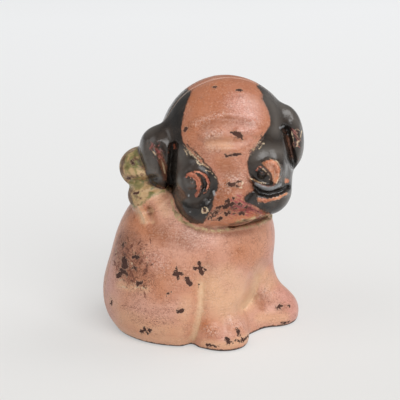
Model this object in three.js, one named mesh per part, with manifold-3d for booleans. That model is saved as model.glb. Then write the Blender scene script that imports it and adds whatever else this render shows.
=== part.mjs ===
// Dog money box: a seated puppy cast in iron as two hollow halves, clamped together by one screw.
// Millimetres. +Z is up, the face looks towards -Y, and the box's bottom centre is the origin.
import * as THREE from "three";
import { mergeVertices } from "three/addons/utils/BufferGeometryUtils.js";
import Module from "manifold-3d";

const wasm = await Module();
wasm.setup();

// Overall sizes of the figure.
const FIGURE_WIDTH = 96.2;
const FIGURE_DEPTH = 86.4;
const FIGURE_HEIGHT = 124;

// Casting.
const WALL = 3.2;
const FLOOR = 3.6;
const PART_GAP = 0.3;
const FIT = 0.3;

// Clamp screw, a slotted round head machine screw.
const SCREW_DIAMETER = 4.8;
const SCREW_GRIP = 12;
const SCREW_TIP = 1.4;
const HEAD_DIAMETER = 9.2;
const HEAD_HEIGHT = 3.4;
const DRIVER_SLOT_WIDTH = 1.3;
const DRIVER_SLOT_DEPTH = 1.7;
const SCREW_X = 0;
const SCREW_Z = 36;
const SEAT_DEPTH = 2.6;
const SEAT_WALL = 5;

// Bosses, locating pins and their pads on the inside of the two rims.
const BOSS_WALL = 3.6;
const PIN_DIAMETER = 3.2;
const PIN_LENGTH = 3.4;
const PAD_DIAMETER = 10;
const PAD_DEPTH = 8;
const LOW_PAD_X = -27;

// Coin slot in the back of the head.
const SLOT_LENGTH = 32;
const SLOT_HEIGHT = 4.9;
const SLOT_X = 9;
const SLOT_Z = 95;

// Fineness of round rods and of the rooms inside.
const ROUND_SIDES = 24;
const HOLLOW_COLUMNS = 22;
const HOLLOW_ROWS = 15;

// The figure is drawn as soft lumps, each an ellipsoid or a tapering limb melted into those before it.
// Places on the body run ahead, left and up from its frame; on the head they run right, back and up.
const BODY_FRAME = { x: 2.5, y: 2, z: 0, turn: -48, roll: 0 };
const HEAD_FRAME = { x: 9.5, y: 0, z: 86.5, turn: 0, roll: 8 };
const BOW_FRAME = { x: -27, y: -1, z: 74, turn: 0, roll: 0 };

const NEAR_LEG_LUMPS = [
  { name: "near foreleg", from: [13, -12, 40], to: [17, -16, 10], thick: [13, 11], melt: 8 },
  { name: "near paw", at: [20, -17, 4], radii: [13.5, 13, 11], melt: 5 },
];
const FAR_LEG_LUMPS = [
  { name: "far foreleg", from: [10, 12, 34], to: [18.5, 21, 10], thick: [11.5, 9], melt: 5 },
  { name: "far paw", at: [20.5, 21.5, 4], radii: [13.5, 13.5, 12], melt: 5 },
];

const BODY_LUMPS = [
  { name: "rump and belly", at: [-11, -4, 19.5], radii: [36, 41, 33.5], melt: 1 },
  { name: "back and shoulders", at: [-7, -4, 42], radii: [33, 37, 32.5], melt: 14 },
  { name: "chest", at: [8, 2, 44], radii: [20, 26.5, 26], melt: 8 },
  { name: "near haunch", at: [-9, -21.5, 15], radii: [30.5, 20.5, 20], melt: 12 },
  { name: "far haunch", at: [-12, 20, 17], radii: [25, 16.5, 21], melt: 8 },
  ...NEAR_LEG_LUMPS,
  ...FAR_LEG_LUMPS,
  { name: "web between the paws", at: [14, 4, 2], radii: [13, 20, 12], melt: 6 },
];

const HEAD_LUMPS = [
  { name: "skull", at: [0.8, 1, 1], radii: [32.8, 33, 34.6], melt: 1 },
  { name: "face", at: [0, -11, -7], radii: [26, 20, 20], melt: 8 },
  { name: "left jowl", at: [-16, -18.5, -15.5], radii: [11.5, 14, 11.5], melt: 4 },
  { name: "right jowl", at: [13.5, -19, -15.5], radii: [12, 14, 11.5], melt: 4 },
  { name: "left eye mound", at: [-19, -22.5, -3], radii: [8.5, 10.5, 9], melt: 3 },
  { name: "right eye mound", at: [14, -24, -3], radii: [9, 10.5, 9], melt: 3 },
  { name: "muzzle", at: [-2.5, -25.5, -13], radii: [9.5, 11, 9.5], melt: 4 },
  { name: "chin", at: [-2, -23.5, -22.5], radii: [11.5, 10, 5.5], melt: 2.5 },
];

const LEFT_EAR_LUMPS = [
  { name: "left ear", at: [-32.5, -5, 2.5], radii: [8, 11, 15.5], melt: 1 },
  { name: "left ear root", at: [-27, -3, 9.5], radii: [10, 11, 9], melt: 6 },
];
const RIGHT_EAR_LUMPS = [
  { name: "right ear", at: [28.8, -5, 1.2], radii: [8, 11, 16], melt: 1 },
  { name: "right ear root", at: [23.5, -3, 9.5], radii: [10, 11, 9], melt: 6 },
];
const UPPER_LOOP_LUMPS = [{ name: "upper loop", at: [-3, 1, 6.5], radii: [11, 11, 10], melt: 1 }];
const LOWER_LOOP_LUMPS = [{ name: "lower loop", at: [2.5, -2, -6.5], radii: [11.5, 12, 9], melt: 1 }];

// Each skin is one ball drawn in onto its lumps from a middle; the hollow ones have a room inside.
const SKINS = [
  { frame: BODY_FRAME, lumps: BODY_LUMPS, middle: [-3, -4, 32], mesh: [36, 25], hollow: true },
  { frame: HEAD_FRAME, lumps: HEAD_LUMPS, middle: [0.5, -4, -1.5], mesh: [44, 30], hollow: true },
  { frame: HEAD_FRAME, lumps: LEFT_EAR_LUMPS, middle: [-31, -4.5, 4], mesh: [16, 12], hollow: false },
  { frame: HEAD_FRAME, lumps: RIGHT_EAR_LUMPS, middle: [27, -4.5, 3], mesh: [16, 12], hollow: false },
  { frame: BODY_FRAME, lumps: NEAR_LEG_LUMPS, middle: [18, -16, 10], mesh: [16, 12], hollow: false },
  { frame: BODY_FRAME, lumps: FAR_LEG_LUMPS, middle: [18, 20, 11], mesh: [16, 12], hollow: false },
  { frame: BOW_FRAME, lumps: UPPER_LOOP_LUMPS, middle: [-3, 1, 6.5], mesh: [16, 11], hollow: true },
  { frame: BOW_FRAME, lumps: LOWER_LOOP_LUMPS, middle: [2.5, -2, -6.5], mesh: [16, 11], hollow: true },
];
const NECK_RIBBON = { x: 8, y: -2, z: 62.5, radius: 25.8, thick: 2, roll: 4, mesh: [6, 32] };

// Distance from a point to the figure, negative inside.
const FAR_REACH = 90;
const CLOSE_ENOUGH = 0.004;
const MOST_STEPS = 160;
const STEP_SHARE = 0.7;

function intoFrame(point, frame) {
  const turn = THREE.MathUtils.degToRad(frame.turn);
  const roll = THREE.MathUtils.degToRad(frame.roll);
  const x = point.x - frame.x;
  const y = point.y - frame.y;
  const z = point.z - frame.z;
  const ahead = x * Math.cos(turn) + y * Math.sin(turn);
  const aside = y * Math.cos(turn) - x * Math.sin(turn);
  const right = ahead * Math.cos(roll) + z * Math.sin(roll);
  const up = z * Math.cos(roll) - ahead * Math.sin(roll);
  return new THREE.Vector3(right, aside, up);
}

function outOfFrame(place, frame) {
  const turn = THREE.MathUtils.degToRad(frame.turn);
  const roll = THREE.MathUtils.degToRad(frame.roll);
  const [right, aside, up] = place;
  const ahead = right * Math.cos(roll) - up * Math.sin(roll);
  const x = frame.x + ahead * Math.cos(turn) - aside * Math.sin(turn);
  const y = frame.y + ahead * Math.sin(turn) + aside * Math.cos(turn);
  const z = frame.z + right * Math.sin(roll) + up * Math.cos(roll);
  return new THREE.Vector3(x, y, z);
}

function ellipsoidDistance(point, lump) {
  const offset = point.clone().sub(new THREE.Vector3(...lump.at));
  const radii = new THREE.Vector3(...lump.radii);
  const near = offset.clone().divide(radii);
  if (near.length() < CLOSE_ENOUGH) return -Math.min(...lump.radii);
  const slope = near.clone().divide(radii).length();
  return (near.length() * (near.length() - 1)) / slope;
}

function limbDistance(point, lump) {
  const start = new THREE.Vector3(...lump.from);
  const along = new THREE.Vector3(...lump.to).sub(start);
  const offset = point.clone().sub(start);
  const share = THREE.MathUtils.clamp(offset.dot(along) / along.lengthSq(), 0, 1);
  const thickness = THREE.MathUtils.lerp(lump.thick[0], lump.thick[1], share);
  return offset.addScaledVector(along, -share).length() - thickness;
}

function lumpDistance(point, lump) {
  return lump.at ? ellipsoidDistance(point, lump) : limbDistance(point, lump);
}

function melted(first, second, reach) {
  const overlap = Math.max(reach - Math.abs(first - second), 0) / reach;
  return Math.min(first, second) - (overlap * overlap * reach) / 4;
}

function figureDistance(lumps, frame) {
  return (point) => {
    const local = intoFrame(point, frame);
    let distance = Infinity;
    for (const lump of lumps) {
      const own = lumpDistance(local, lump);
      distance = distance === Infinity ? own : melted(distance, own, lump.melt);
    }
    return distance;
  };
}

const bodyDistance = figureDistance(BODY_LUMPS, BODY_FRAME);
const headDistance = figureDistance(HEAD_LUMPS, HEAD_FRAME);

// A ball whose points are drawn in along their rays until they lie on the figure.
function unitBall(columns, rows) {
  const ball = new THREE.SphereGeometry(1, columns, rows);
  ball.deleteAttribute("normal");
  ball.deleteAttribute("uv");
  return mergeVertices(ball, 1e-5);
}

function reachFromOutside(distance, middle, ray) {
  let reach = FAR_REACH;
  for (let step = 0; step < MOST_STEPS; step += 1) {
    const gap = distance(middle.clone().addScaledVector(ray, reach));
    if (gap < CLOSE_ENOUGH) break;
    reach -= STEP_SHARE * gap;
  }
  return reach;
}

function reachFromInside(distance, middle, ray, inset) {
  let reach = 0;
  for (let step = 0; step < MOST_STEPS; step += 1) {
    const room = -inset - distance(middle.clone().addScaledVector(ray, reach));
    if (room < CLOSE_ENOUGH) break;
    reach += STEP_SHARE * room;
  }
  return reach;
}

function castBall(middle, columns, rows, reachOf) {
  const ball = unitBall(columns, rows);
  const points = ball.attributes.position;
  for (let index = 0; index < points.count; index += 1) {
    const ray = new THREE.Vector3().fromBufferAttribute(points, index).normalize();
    const place = middle.clone().addScaledVector(ray, reachOf(ray));
    points.setXYZ(index, place.x, place.y, place.z);
  }
  return ball;
}

function skinOf(skin) {
  const distance = figureDistance(skin.lumps, skin.frame);
  const middle = outOfFrame(skin.middle, skin.frame);
  const [columns, rows] = skin.mesh;
  return castBall(middle, columns, rows, (ray) => reachFromOutside(distance, middle, ray));
}

function hollowOf(skin, depth) {
  const distance = figureDistance(skin.lumps, skin.frame);
  const middle = outOfFrame(skin.middle, skin.frame);
  const reachOf = (ray) => reachFromInside(distance, middle, ray, depth);
  return castBall(middle, HOLLOW_COLUMNS, HOLLOW_ROWS, reachOf);
}

// The skins as drawn, and the scale that brings their box to the overall sizes.
const ribbonSkin = new THREE.TorusGeometry(NECK_RIBBON.radius, NECK_RIBBON.thick, ...NECK_RIBBON.mesh)
  .rotateY(-THREE.MathUtils.degToRad(NECK_RIBBON.roll))
  .translate(NECK_RIBBON.x, NECK_RIBBON.y, NECK_RIBBON.z);
const skins = [...SKINS.map(skinOf), ribbonSkin];

const drawnBox = new THREE.Box3();
for (const skin of skins) {
  const points = skin.attributes.position;
  for (let index = 0; index < points.count; index += 1) {
    const point = new THREE.Vector3().fromBufferAttribute(points, index);
    if (point.z >= 0) drawnBox.expandByPoint(point);
  }
}
drawnBox.min.z = 0;
const drawnSize = drawnBox.getSize(new THREE.Vector3());
const scale = new THREE.Vector3(FIGURE_WIDTH, FIGURE_DEPTH, FIGURE_HEIGHT).divide(drawnSize);
const inset = WALL / Math.min(scale.x, scale.y, scale.z);

const hollows = SKINS.filter((skin) => skin.hollow).map((skin) => hollowOf(skin, inset));
for (const shape of [...skins, ...hollows]) shape.scale(scale.x, scale.y, scale.z);

// Solids, joins and cuts.
function solidOf(shape) {
  const bare = shape.clone();
  bare.deleteAttribute("normal");
  bare.deleteAttribute("uv");
  const merged = mergeVertices(bare, 1e-4);
  const mesh = new wasm.Mesh({
    numProp: 3,
    vertProperties: new Float32Array(merged.attributes.position.array),
    triVerts: new Uint32Array(merged.index.array),
  });
  return new wasm.Manifold(mesh);
}

function boxBetween(low, high) {
  const size = high.clone().sub(low);
  const middle = low.clone().add(high).multiplyScalar(0.5);
  return solidOf(new THREE.BoxGeometry(size.x, size.y, size.z).translate(middle.x, middle.y, middle.z));
}

function rodAlongY(diameter, x, z, start, end) {
  const rod = new THREE.CylinderGeometry(diameter / 2, diameter / 2, end - start, ROUND_SIDES);
  return solidOf(rod.translate(x, (start + end) / 2, z));
}

const ROOM = 2 * Math.max(FIGURE_WIDTH, FIGURE_DEPTH, FIGURE_HEIGHT);
const aboveGround = boxBetween(new THREE.Vector3(-ROOM, -ROOM, 0), new THREE.Vector3(ROOM, ROOM, ROOM));
const aboveFloor = boxBetween(new THREE.Vector3(-ROOM, -ROOM, FLOOR), new THREE.Vector3(ROOM, ROOM, ROOM));
const inFront = boxBetween(
  new THREE.Vector3(-ROOM, -ROOM, -ROOM),
  new THREE.Vector3(ROOM, -PART_GAP / 2, ROOM),
);
const behind = boxBetween(
  new THREE.Vector3(-ROOM, PART_GAP / 2, -ROOM),
  new THREE.Vector3(ROOM, ROOM, ROOM),
);

const figure = skins
  .map(solidOf)
  .reduce((joined, skin) => joined.add(skin))
  .intersect(aboveGround);
const hollow = hollows
  .map(solidOf)
  .reduce((joined, room) => joined.add(room))
  .intersect(aboveFloor);

// Where a line along Y through a place meets the outside, seen from behind or from the front.
function outsideAt(x, z, from) {
  const start = new THREE.Vector3(x / scale.x, (from * FAR_REACH) / scale.y, z / scale.z);
  const ray = new THREE.Vector3(0, -from, 0);
  let travelled = 0;
  for (let step = 0; step < MOST_STEPS; step += 1) {
    const place = start.clone().addScaledVector(ray, travelled);
    const gap = Math.min(bodyDistance(place), headDistance(place));
    if (gap < CLOSE_ENOUGH) break;
    travelled += STEP_SHARE * gap;
  }
  return (start.y - from * travelled) * scale.y;
}

// Screw seat, bosses and bores, all on the screw's own axis.
const seatY = outsideAt(SCREW_X, SCREW_Z, 1) - SEAT_DEPTH;
const boreDiameter = SCREW_DIAMETER + 2 * FIT;
const bossDiameter = boreDiameter + 2 * BOSS_WALL;
const seatDiameter = HEAD_DIAMETER + 4 * FIT;
const gripEnd = -PART_GAP / 2 - SCREW_GRIP;
const frontY = outsideAt(SCREW_X, SCREW_Z, -1);
const boss = rodAlongY(bossDiameter, SCREW_X, SCREW_Z, frontY, seatY);
const seatStart = seatY - SEAT_WALL;
const seatLug = rodAlongY(seatDiameter + 2 * WALL, SCREW_X, SCREW_Z, seatStart, seatY + SEAT_DEPTH);
const bore = rodAlongY(boreDiameter, SCREW_X, SCREW_Z, gripEnd - SCREW_TIP, seatY + FIT);
const seat = rodAlongY(seatDiameter, SCREW_X, SCREW_Z, seatY, seatY + ROOM / 4);

// Pads and locating pins, one under the crown and one on the floor.
const headMiddle = outOfFrame([0, 0, 0], HEAD_FRAME);
const crownReach = reachFromInside(headDistance, headMiddle, new THREE.Vector3(0, 0, 1), inset);
const crownX = headMiddle.x * scale.x;
const crownZ = (headMiddle.z + crownReach) * scale.z - PAD_DIAMETER / 2 + FIT;
const lowZ = FLOOR + PAD_DIAMETER / 2 - FIT;
const pinPlaces = [
  [crownX, crownZ],
  [LOW_PAD_X, lowZ],
];
const pads = pinPlaces
  .map(([x, z]) => {
    const round = rodAlongY(PAD_DIAMETER, x, z, -PAD_DEPTH, PAD_DEPTH);
    const outward = z > FIGURE_HEIGHT / 2 ? PAD_DIAMETER : -PAD_DIAMETER;
    const low = new THREE.Vector3(x - PAD_DIAMETER / 3, -PAD_DEPTH, Math.min(z, z + outward));
    const high = new THREE.Vector3(x + PAD_DIAMETER / 3, PAD_DEPTH, Math.max(z, z + outward));
    return round.add(boxBetween(low, high));
  })
  .reduce((joined, pad) => joined.add(pad));
const pins = pinPlaces
  .map(([x, z]) => rodAlongY(PIN_DIAMETER, x, z, -PAD_DEPTH / 2, PIN_LENGTH))
  .reduce((joined, pin) => joined.add(pin));
const sockets = pinPlaces
  .map(([x, z]) => rodAlongY(PIN_DIAMETER + 2 * FIT, x, z, 0, PIN_LENGTH + 2 * FIT))
  .reduce((joined, socket) => joined.add(socket));

// Coin slot, straight through the back of the head.
const coinSlot = boxBetween(
  new THREE.Vector3(SLOT_X - SLOT_LENGTH / 2, FIGURE_DEPTH / 8, SLOT_Z - SLOT_HEIGHT / 2),
  new THREE.Vector3(SLOT_X + SLOT_LENGTH / 2, ROOM, SLOT_Z + SLOT_HEIGHT / 2),
);

// The two halves.
const inside = boss.add(seatLug).add(pads).intersect(figure);
const shell = figure.subtract(hollow).add(inside).subtract(bore).subtract(seat);
const faceHalf = shell.intersect(inFront).add(pins);
const backHalf = shell.intersect(behind).subtract(sockets).subtract(coinSlot);

// The clamp screw: tip, shank and domed head turned about its axis, then the driver slot.
const headBase = seatY + FIT;
const headTop = headBase + HEAD_HEIGHT;
const shank = SCREW_DIAMETER / 2;
const dome = HEAD_DIAMETER / 2;
const profile = [
  new THREE.Vector2(0, gripEnd),
  new THREE.Vector2(shank - SCREW_TIP / 2, gripEnd),
  new THREE.Vector2(shank, gripEnd + SCREW_TIP),
  new THREE.Vector2(shank, headBase),
  new THREE.Vector2(dome, headBase),
];
const DOME_STEPS = 6;
const rise = HEAD_HEIGHT * 0.25;
for (let step = 0; step < DOME_STEPS; step += 1) {
  const angle = (step / DOME_STEPS) * (Math.PI / 2);
  const reach = dome * Math.cos(angle);
  profile.push(new THREE.Vector2(reach, headBase + rise + (HEAD_HEIGHT - rise) * Math.sin(angle)));
}
profile.push(new THREE.Vector2(0, headTop));
const turned = new THREE.LatheGeometry(profile, ROUND_SIDES).translate(SCREW_X, 0, SCREW_Z);
const driverSlot = boxBetween(
  new THREE.Vector3(SCREW_X - DRIVER_SLOT_WIDTH / 2, headTop - DRIVER_SLOT_DEPTH, SCREW_Z - HEAD_DIAMETER),
  new THREE.Vector3(SCREW_X + DRIVER_SLOT_WIDTH / 2, headTop + HEAD_HEIGHT, SCREW_Z + HEAD_DIAMETER),
);
const clampScrew = solidOf(turned).subtract(driverSlot);

// Named meshes, shifted so that the figure stands over the origin.
const standing = new THREE.Vector3(
  -((drawnBox.min.x + drawnBox.max.x) / 2) * scale.x,
  -((drawnBox.min.y + drawnBox.max.y) / 2) * scale.y,
  0,
);

function piece(name, solid, colour, roughness, metalness) {
  const made = solid.getMesh();
  const shape = new THREE.BufferGeometry();
  shape.setAttribute("position", new THREE.BufferAttribute(new Float32Array(made.vertProperties), 3));
  shape.setIndex(new THREE.BufferAttribute(new Uint32Array(made.triVerts), 1));
  shape.computeVertexNormals();
  const material = new THREE.MeshStandardMaterial({ color: colour, roughness, metalness });
  const mesh = new THREE.Mesh(shape, material);
  mesh.name = name;
  mesh.position.copy(standing);
  return mesh;
}

const group = new THREE.Group();
group.name = "dog_money_box";
group.add(piece("face_half_shell", faceHalf, 0xc98a6a, 0.45, 0.1));
group.add(piece("back_half_shell", backHalf, 0xc08262, 0.45, 0.1));
group.add(piece("clamp_screw", clampScrew, 0x6b5a4c, 0.5, 0.8));

export default group;
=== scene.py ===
"""Dog money box: the looks of two painted iron castings and their clamp screw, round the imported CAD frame."""

import bpy
import numpy as np
from mathutils import Matrix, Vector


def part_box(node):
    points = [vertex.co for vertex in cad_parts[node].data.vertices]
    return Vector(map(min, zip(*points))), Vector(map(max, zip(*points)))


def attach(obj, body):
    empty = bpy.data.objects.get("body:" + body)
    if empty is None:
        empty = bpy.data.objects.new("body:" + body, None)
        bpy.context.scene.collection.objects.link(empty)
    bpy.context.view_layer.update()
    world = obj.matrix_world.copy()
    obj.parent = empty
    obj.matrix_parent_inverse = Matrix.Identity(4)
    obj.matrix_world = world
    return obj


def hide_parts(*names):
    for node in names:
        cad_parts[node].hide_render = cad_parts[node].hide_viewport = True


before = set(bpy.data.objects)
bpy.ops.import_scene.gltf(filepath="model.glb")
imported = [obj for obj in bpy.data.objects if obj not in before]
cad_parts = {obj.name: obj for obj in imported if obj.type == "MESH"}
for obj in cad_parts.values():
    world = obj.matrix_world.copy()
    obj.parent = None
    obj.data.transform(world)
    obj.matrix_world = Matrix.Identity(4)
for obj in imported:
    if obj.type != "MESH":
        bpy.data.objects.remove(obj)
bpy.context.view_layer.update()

# The two half castings: a seated puppy in grey iron, poured hollow in sand moulds that part on an upright
# plane, then brushed with flesh, black, green and red enamel that has chipped and worn since.
# Two pins on the face half locate the back half, and one screw from behind clamps them together.

# The figure is drawn in millimetres about the middle of its base, then scaled and stood over the origin.
FIGURE_SCALE = 1.0151
STANDING = np.array([1.3344, -5.2013, 0.0], np.float32)
# wall and floor, the least metal under a deep crease, half the gap at the seam
WALL, FLOOR, LEAST_METAL, RIM_GAP = 3.15, 3.6, 1.2, 0.15
# spacing of the lattice that the skins are drawn on, and of the coarser one for what only shows from inside
NET_PITCH = 0.58
INSIDE_PITCH = 2.6 * NET_PITCH
# where the body, head and bow stand, how far the body is turned and how far the head is rolled
BODY_MIDDLE, BODY_TURN = (2.5, 2), np.radians(-48)
HEAD_MIDDLE, HEAD_ROLL = (9.5, 86.5), np.radians(8)
BOW_MIDDLE = (-27, -1, 74)
# reach of the rounding where head, ears and bow melt into the figure
HEAD_MELT, EAR_MELT, BOW_MELT = 3, 2.2, 2

# Soft lumps: (middle, radii, melt) for an egg, (start, end, end thicknesses, melt) for a limb.
BODY_LUMPS = (
    ((-11, -4, 19.5), (36, 41, 33.5), 1),
    ((-7, -4, 42), (34, 38.2, 32.5), 14),
    ((8, 2, 44), (20.4, 26.2, 26), 8),
    ((-9.5, -21.6, 14.5), (31, 20.2, 20.5), 12),
    ((-12, 20, 17), (25, 16.5, 21), 8),
    ((13, -12, 40), (17, -16, 10), (13, 11), 8),
    ((20.4, -17, 4), (13.8, 12.7, 11), 5),
    ((10, 12, 34), (18.5, 21, 10), (11.5, 9), 5),
    ((20.9, 21.8, 4), (13.8, 13.6, 12), 5),
    ((14, 4, 2), (13, 20, 12), 6),
)
HEAD_LUMPS = (
    ((1.2, 1, 1), (32.3, 33, 34.6), 1),
    ((0, -11, -7), (26, 20, 20), 8),
    ((-16, -20, -15.5), (11.8, 14, 11.8), 4.5),
    ((13.9, -20, -15.3), (11.9, 14, 11.6), 4.5),
    ((-19, -22.5, -3), (8.5, 10.5, 9), 3),
    ((14.8, -24, -3), (9, 10.5, 9), 3),
    ((-2.5, -25.5, -13), (9.5, 11, 9.5), 4),
    ((-2, -23.5, -22.5), (11.5, 10, 5.5), 2.5),
)
EAR_LUMPS = (
    ((-33, -5, 3), (7.6, 10.5, 14.5), 1),
    ((-27, -3, 9), (9.6, 11, 8.6), 6),
    ((-20, -2, 17), (-31, -3, 9.5), (5.2, 4.8), 6),
)
FAR_EAR_LUMPS = (
    ((29.4, -5, 2.8), (7.6, 10.6, 15), 1),
    ((24, -3, 9.4), (9.4, 11, 8.4), 6),
    ((18, -2, 16), (27, -3, 10), (4.6, 4.4), 6),
)
BOW_LUMPS = (
    ((-3, 1, 6.5), (10.6, 11, 9.8), 1),
    ((0.6, -2, -6.3), (10.8, 12, 9), 2),
)


def melted(first, second, reach):
    """The nearer of two distances, rounded off by a parabola where they differ by less than reach."""
    near = np.maximum(reach - np.abs(first - second), 0) / reach
    return np.minimum(first, second) - near * near * reach / 4


def lump_distance(place, lumps):
    """Distance to eggs and limbs melted together in turn, negative inside: an egg's is k(k-1)/s, with k the
    length of the offset over the radii and s that of the offset over their squares, a limb's is that to its
    middle line less its thickness there."""
    whole = None
    for lump in lumps:
        offset = [axis - at for axis, at in zip(place, lump[0])]
        if len(lump) == 3:
            near = np.sqrt(sum((o / r) ** 2 for o, r in zip(offset, lump[1])))
            slope = np.sqrt(sum((o / (r * r)) ** 2 for o, r in zip(offset, lump[1])))
            own = near * (near - 1) / np.maximum(slope, 1e-4)
        else:
            along = np.subtract(lump[1], lump[0])
            share = sum(o * a for o, a in zip(offset, along)) / float(along @ along)
            share = np.clip(share, 0, 1)
            thick = lump[2][0] + (lump[2][1] - lump[2][0]) * share
            own = np.sqrt(sum((o - a * share) ** 2 for o, a in zip(offset, along))) - thick
        whole = own if whole is None else melted(whole, own, lump[-1])
    return whole


def turned_about(first, second, middle, turn):
    """Two coordinates counted from a middle, on axes turned by an angle: sums of cosine and sine shares."""
    cosine, sine = np.cos(turn), np.sin(turn)
    first, second = first - middle[0], second - middle[1]
    return first * cosine + second * sine, second * cosine - first * sine


def head_place(x, y, z):
    """Right, back and up from the middle of the rolled head."""
    right, up = turned_about(x, z, HEAD_MIDDLE, HEAD_ROLL)
    return right, y, up


def figure_parts(x, y, z):
    """Distances to the turned body, the rolled head, the two ears and the bow."""
    ahead, aside = turned_about(x, y, BODY_MIDDLE, BODY_TURN)
    head = head_place(x, y, z)
    bow = [axis - at for axis, at in zip((x, y, z), BOW_MIDDLE)]
    return (
        lump_distance((ahead, aside, z), BODY_LUMPS),
        lump_distance(head, HEAD_LUMPS),
        lump_distance(head, EAR_LUMPS),
        lump_distance(head, FAR_EAR_LUMPS),
        lump_distance(bow, BOW_LUMPS),
    )


# The painter's view: relief and paint are laid out on a 400 x 400 picture plane in front of the face, seen
# from 800 mm away, 9 degrees to the left and 18.5 degrees up. One unit is 1 / 2.052 mm at the figure.
PICTURE_MIDDLE = 200
SIGHT_TURN, SIGHT_RISE = np.radians(-9), np.radians(18.5)
SIGHT_DISTANCE, SIGHT_UNITS = 800.0, 2.052
# the point looked at: how far right of and above the middle of the base, square to the sight
SIGHT_ASIDE, SIGHT_ABOVE = -2.437, 59.405
# the back is laid out on a like plane seen from straight behind, with the foot on this line
BACK_FOOT = 330
SIGHT_BACK = np.array([
    np.sin(SIGHT_TURN) * np.cos(SIGHT_RISE), -np.cos(SIGHT_TURN) * np.cos(SIGHT_RISE), np.sin(SIGHT_RISE),
])
SIGHT_RIGHT = np.array([np.cos(SIGHT_TURN), np.sin(SIGHT_TURN), 0.0])
SIGHT_UP = np.cross(SIGHT_BACK, SIGHT_RIGHT)
SIGHT_MIDDLE = SIGHT_RIGHT * SIGHT_ASIDE + SIGHT_UP * SIGHT_ABOVE


def picture_place(x, y, z):
    """Across and down on the picture plane: the offset from the sight's middle, over its depth."""
    offset = (x - SIGHT_MIDDLE[0], y - SIGHT_MIDDLE[1], z - SIGHT_MIDDLE[2])
    right, up, back = (
        sum(o * float(a) for o, a in zip(offset, axis)) for axis in (SIGHT_RIGHT, SIGHT_UP, SIGHT_BACK)
    )
    enlarge = SIGHT_UNITS * SIGHT_DISTANCE / (SIGHT_DISTANCE - back)
    return PICTURE_MIDDLE + right * enlarge, PICTURE_MIDDLE - up * enlarge


def back_place(x, z):
    """Across and down on the plane behind the figure, without perspective."""
    return PICTURE_MIDDLE - x * SIGHT_UNITS, BACK_FOOT - z * SIGHT_UNITS


def stroke_distance(across, down, path):
    """Distance on the picture plane, in millimetres, to a line through points, or to one point."""
    nearest = None
    for start, end in zip(path, path[1:] or path):
        run = (end[0] - start[0], end[1] - start[1])
        length = run[0] ** 2 + run[1] ** 2
        share = 0.0
        if length:
            share = np.clip(((across - start[0]) * run[0] + (down - start[1]) * run[1]) / length, 0, 1)
        own = (across - start[0] - run[0] * share) ** 2 + (down - start[1] - run[1] * share) ** 2
        nearest = own if nearest is None else np.minimum(nearest, own)
    return np.sqrt(nearest) / SIGHT_UNITS


def zone_distance(across, down, ring):
    """Distance on the picture plane to a closed outline, negative inside, which is where a line to the right
    crosses it an odd number of times."""
    inside = np.zeros(across.shape, bool)
    for start, end in zip(ring, ring[1:] + ring[:1]):
        spans = (start[1] > down) != (end[1] > down)
        rise = end[1] - start[1] or 1e-6
        inside ^= spans & (across < start[0] + (down - start[1]) * (end[0] - start[0]) / rise)
    edge = stroke_distance(across, down, ring + ring[:1])
    return np.where(inside, -edge, edge)


# Unevenness of the sand moulds: random values in a block that repeats; (height, size) in mm of each ripple.
SAND_SEED, SAND_CELLS = 7, 32
SAND_TABLE = np.random.default_rng(SAND_SEED).random((SAND_CELLS,) * 3, np.float32) * 2 - 1
SAND_RIPPLES = ((0.13, 9), (0.05, 3.1))


def sand_ripple(x, y, z, size):
    """A ripple from -1 to 1: random values on a lattice of that size, eased between its corners."""
    cells = [axis / size for axis in (x, y, z)]
    floor = [np.floor(cell).astype(np.int32) for cell in cells]
    share = [cell - low for cell, low in zip(cells, floor)]
    share = [s * s * (3 - 2 * s) for s in share]
    total = 0
    for corner in range(8):
        step = [corner & 1, corner >> 1 & 1, corner >> 2]
        weight = 1
        for s, bit in zip(share, step):
            weight = weight * (s if bit else 1 - s)
        total = total + weight * SAND_TABLE[tuple((low + bit) % SAND_CELLS for low, bit in zip(floor, step))]
    return total


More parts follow.
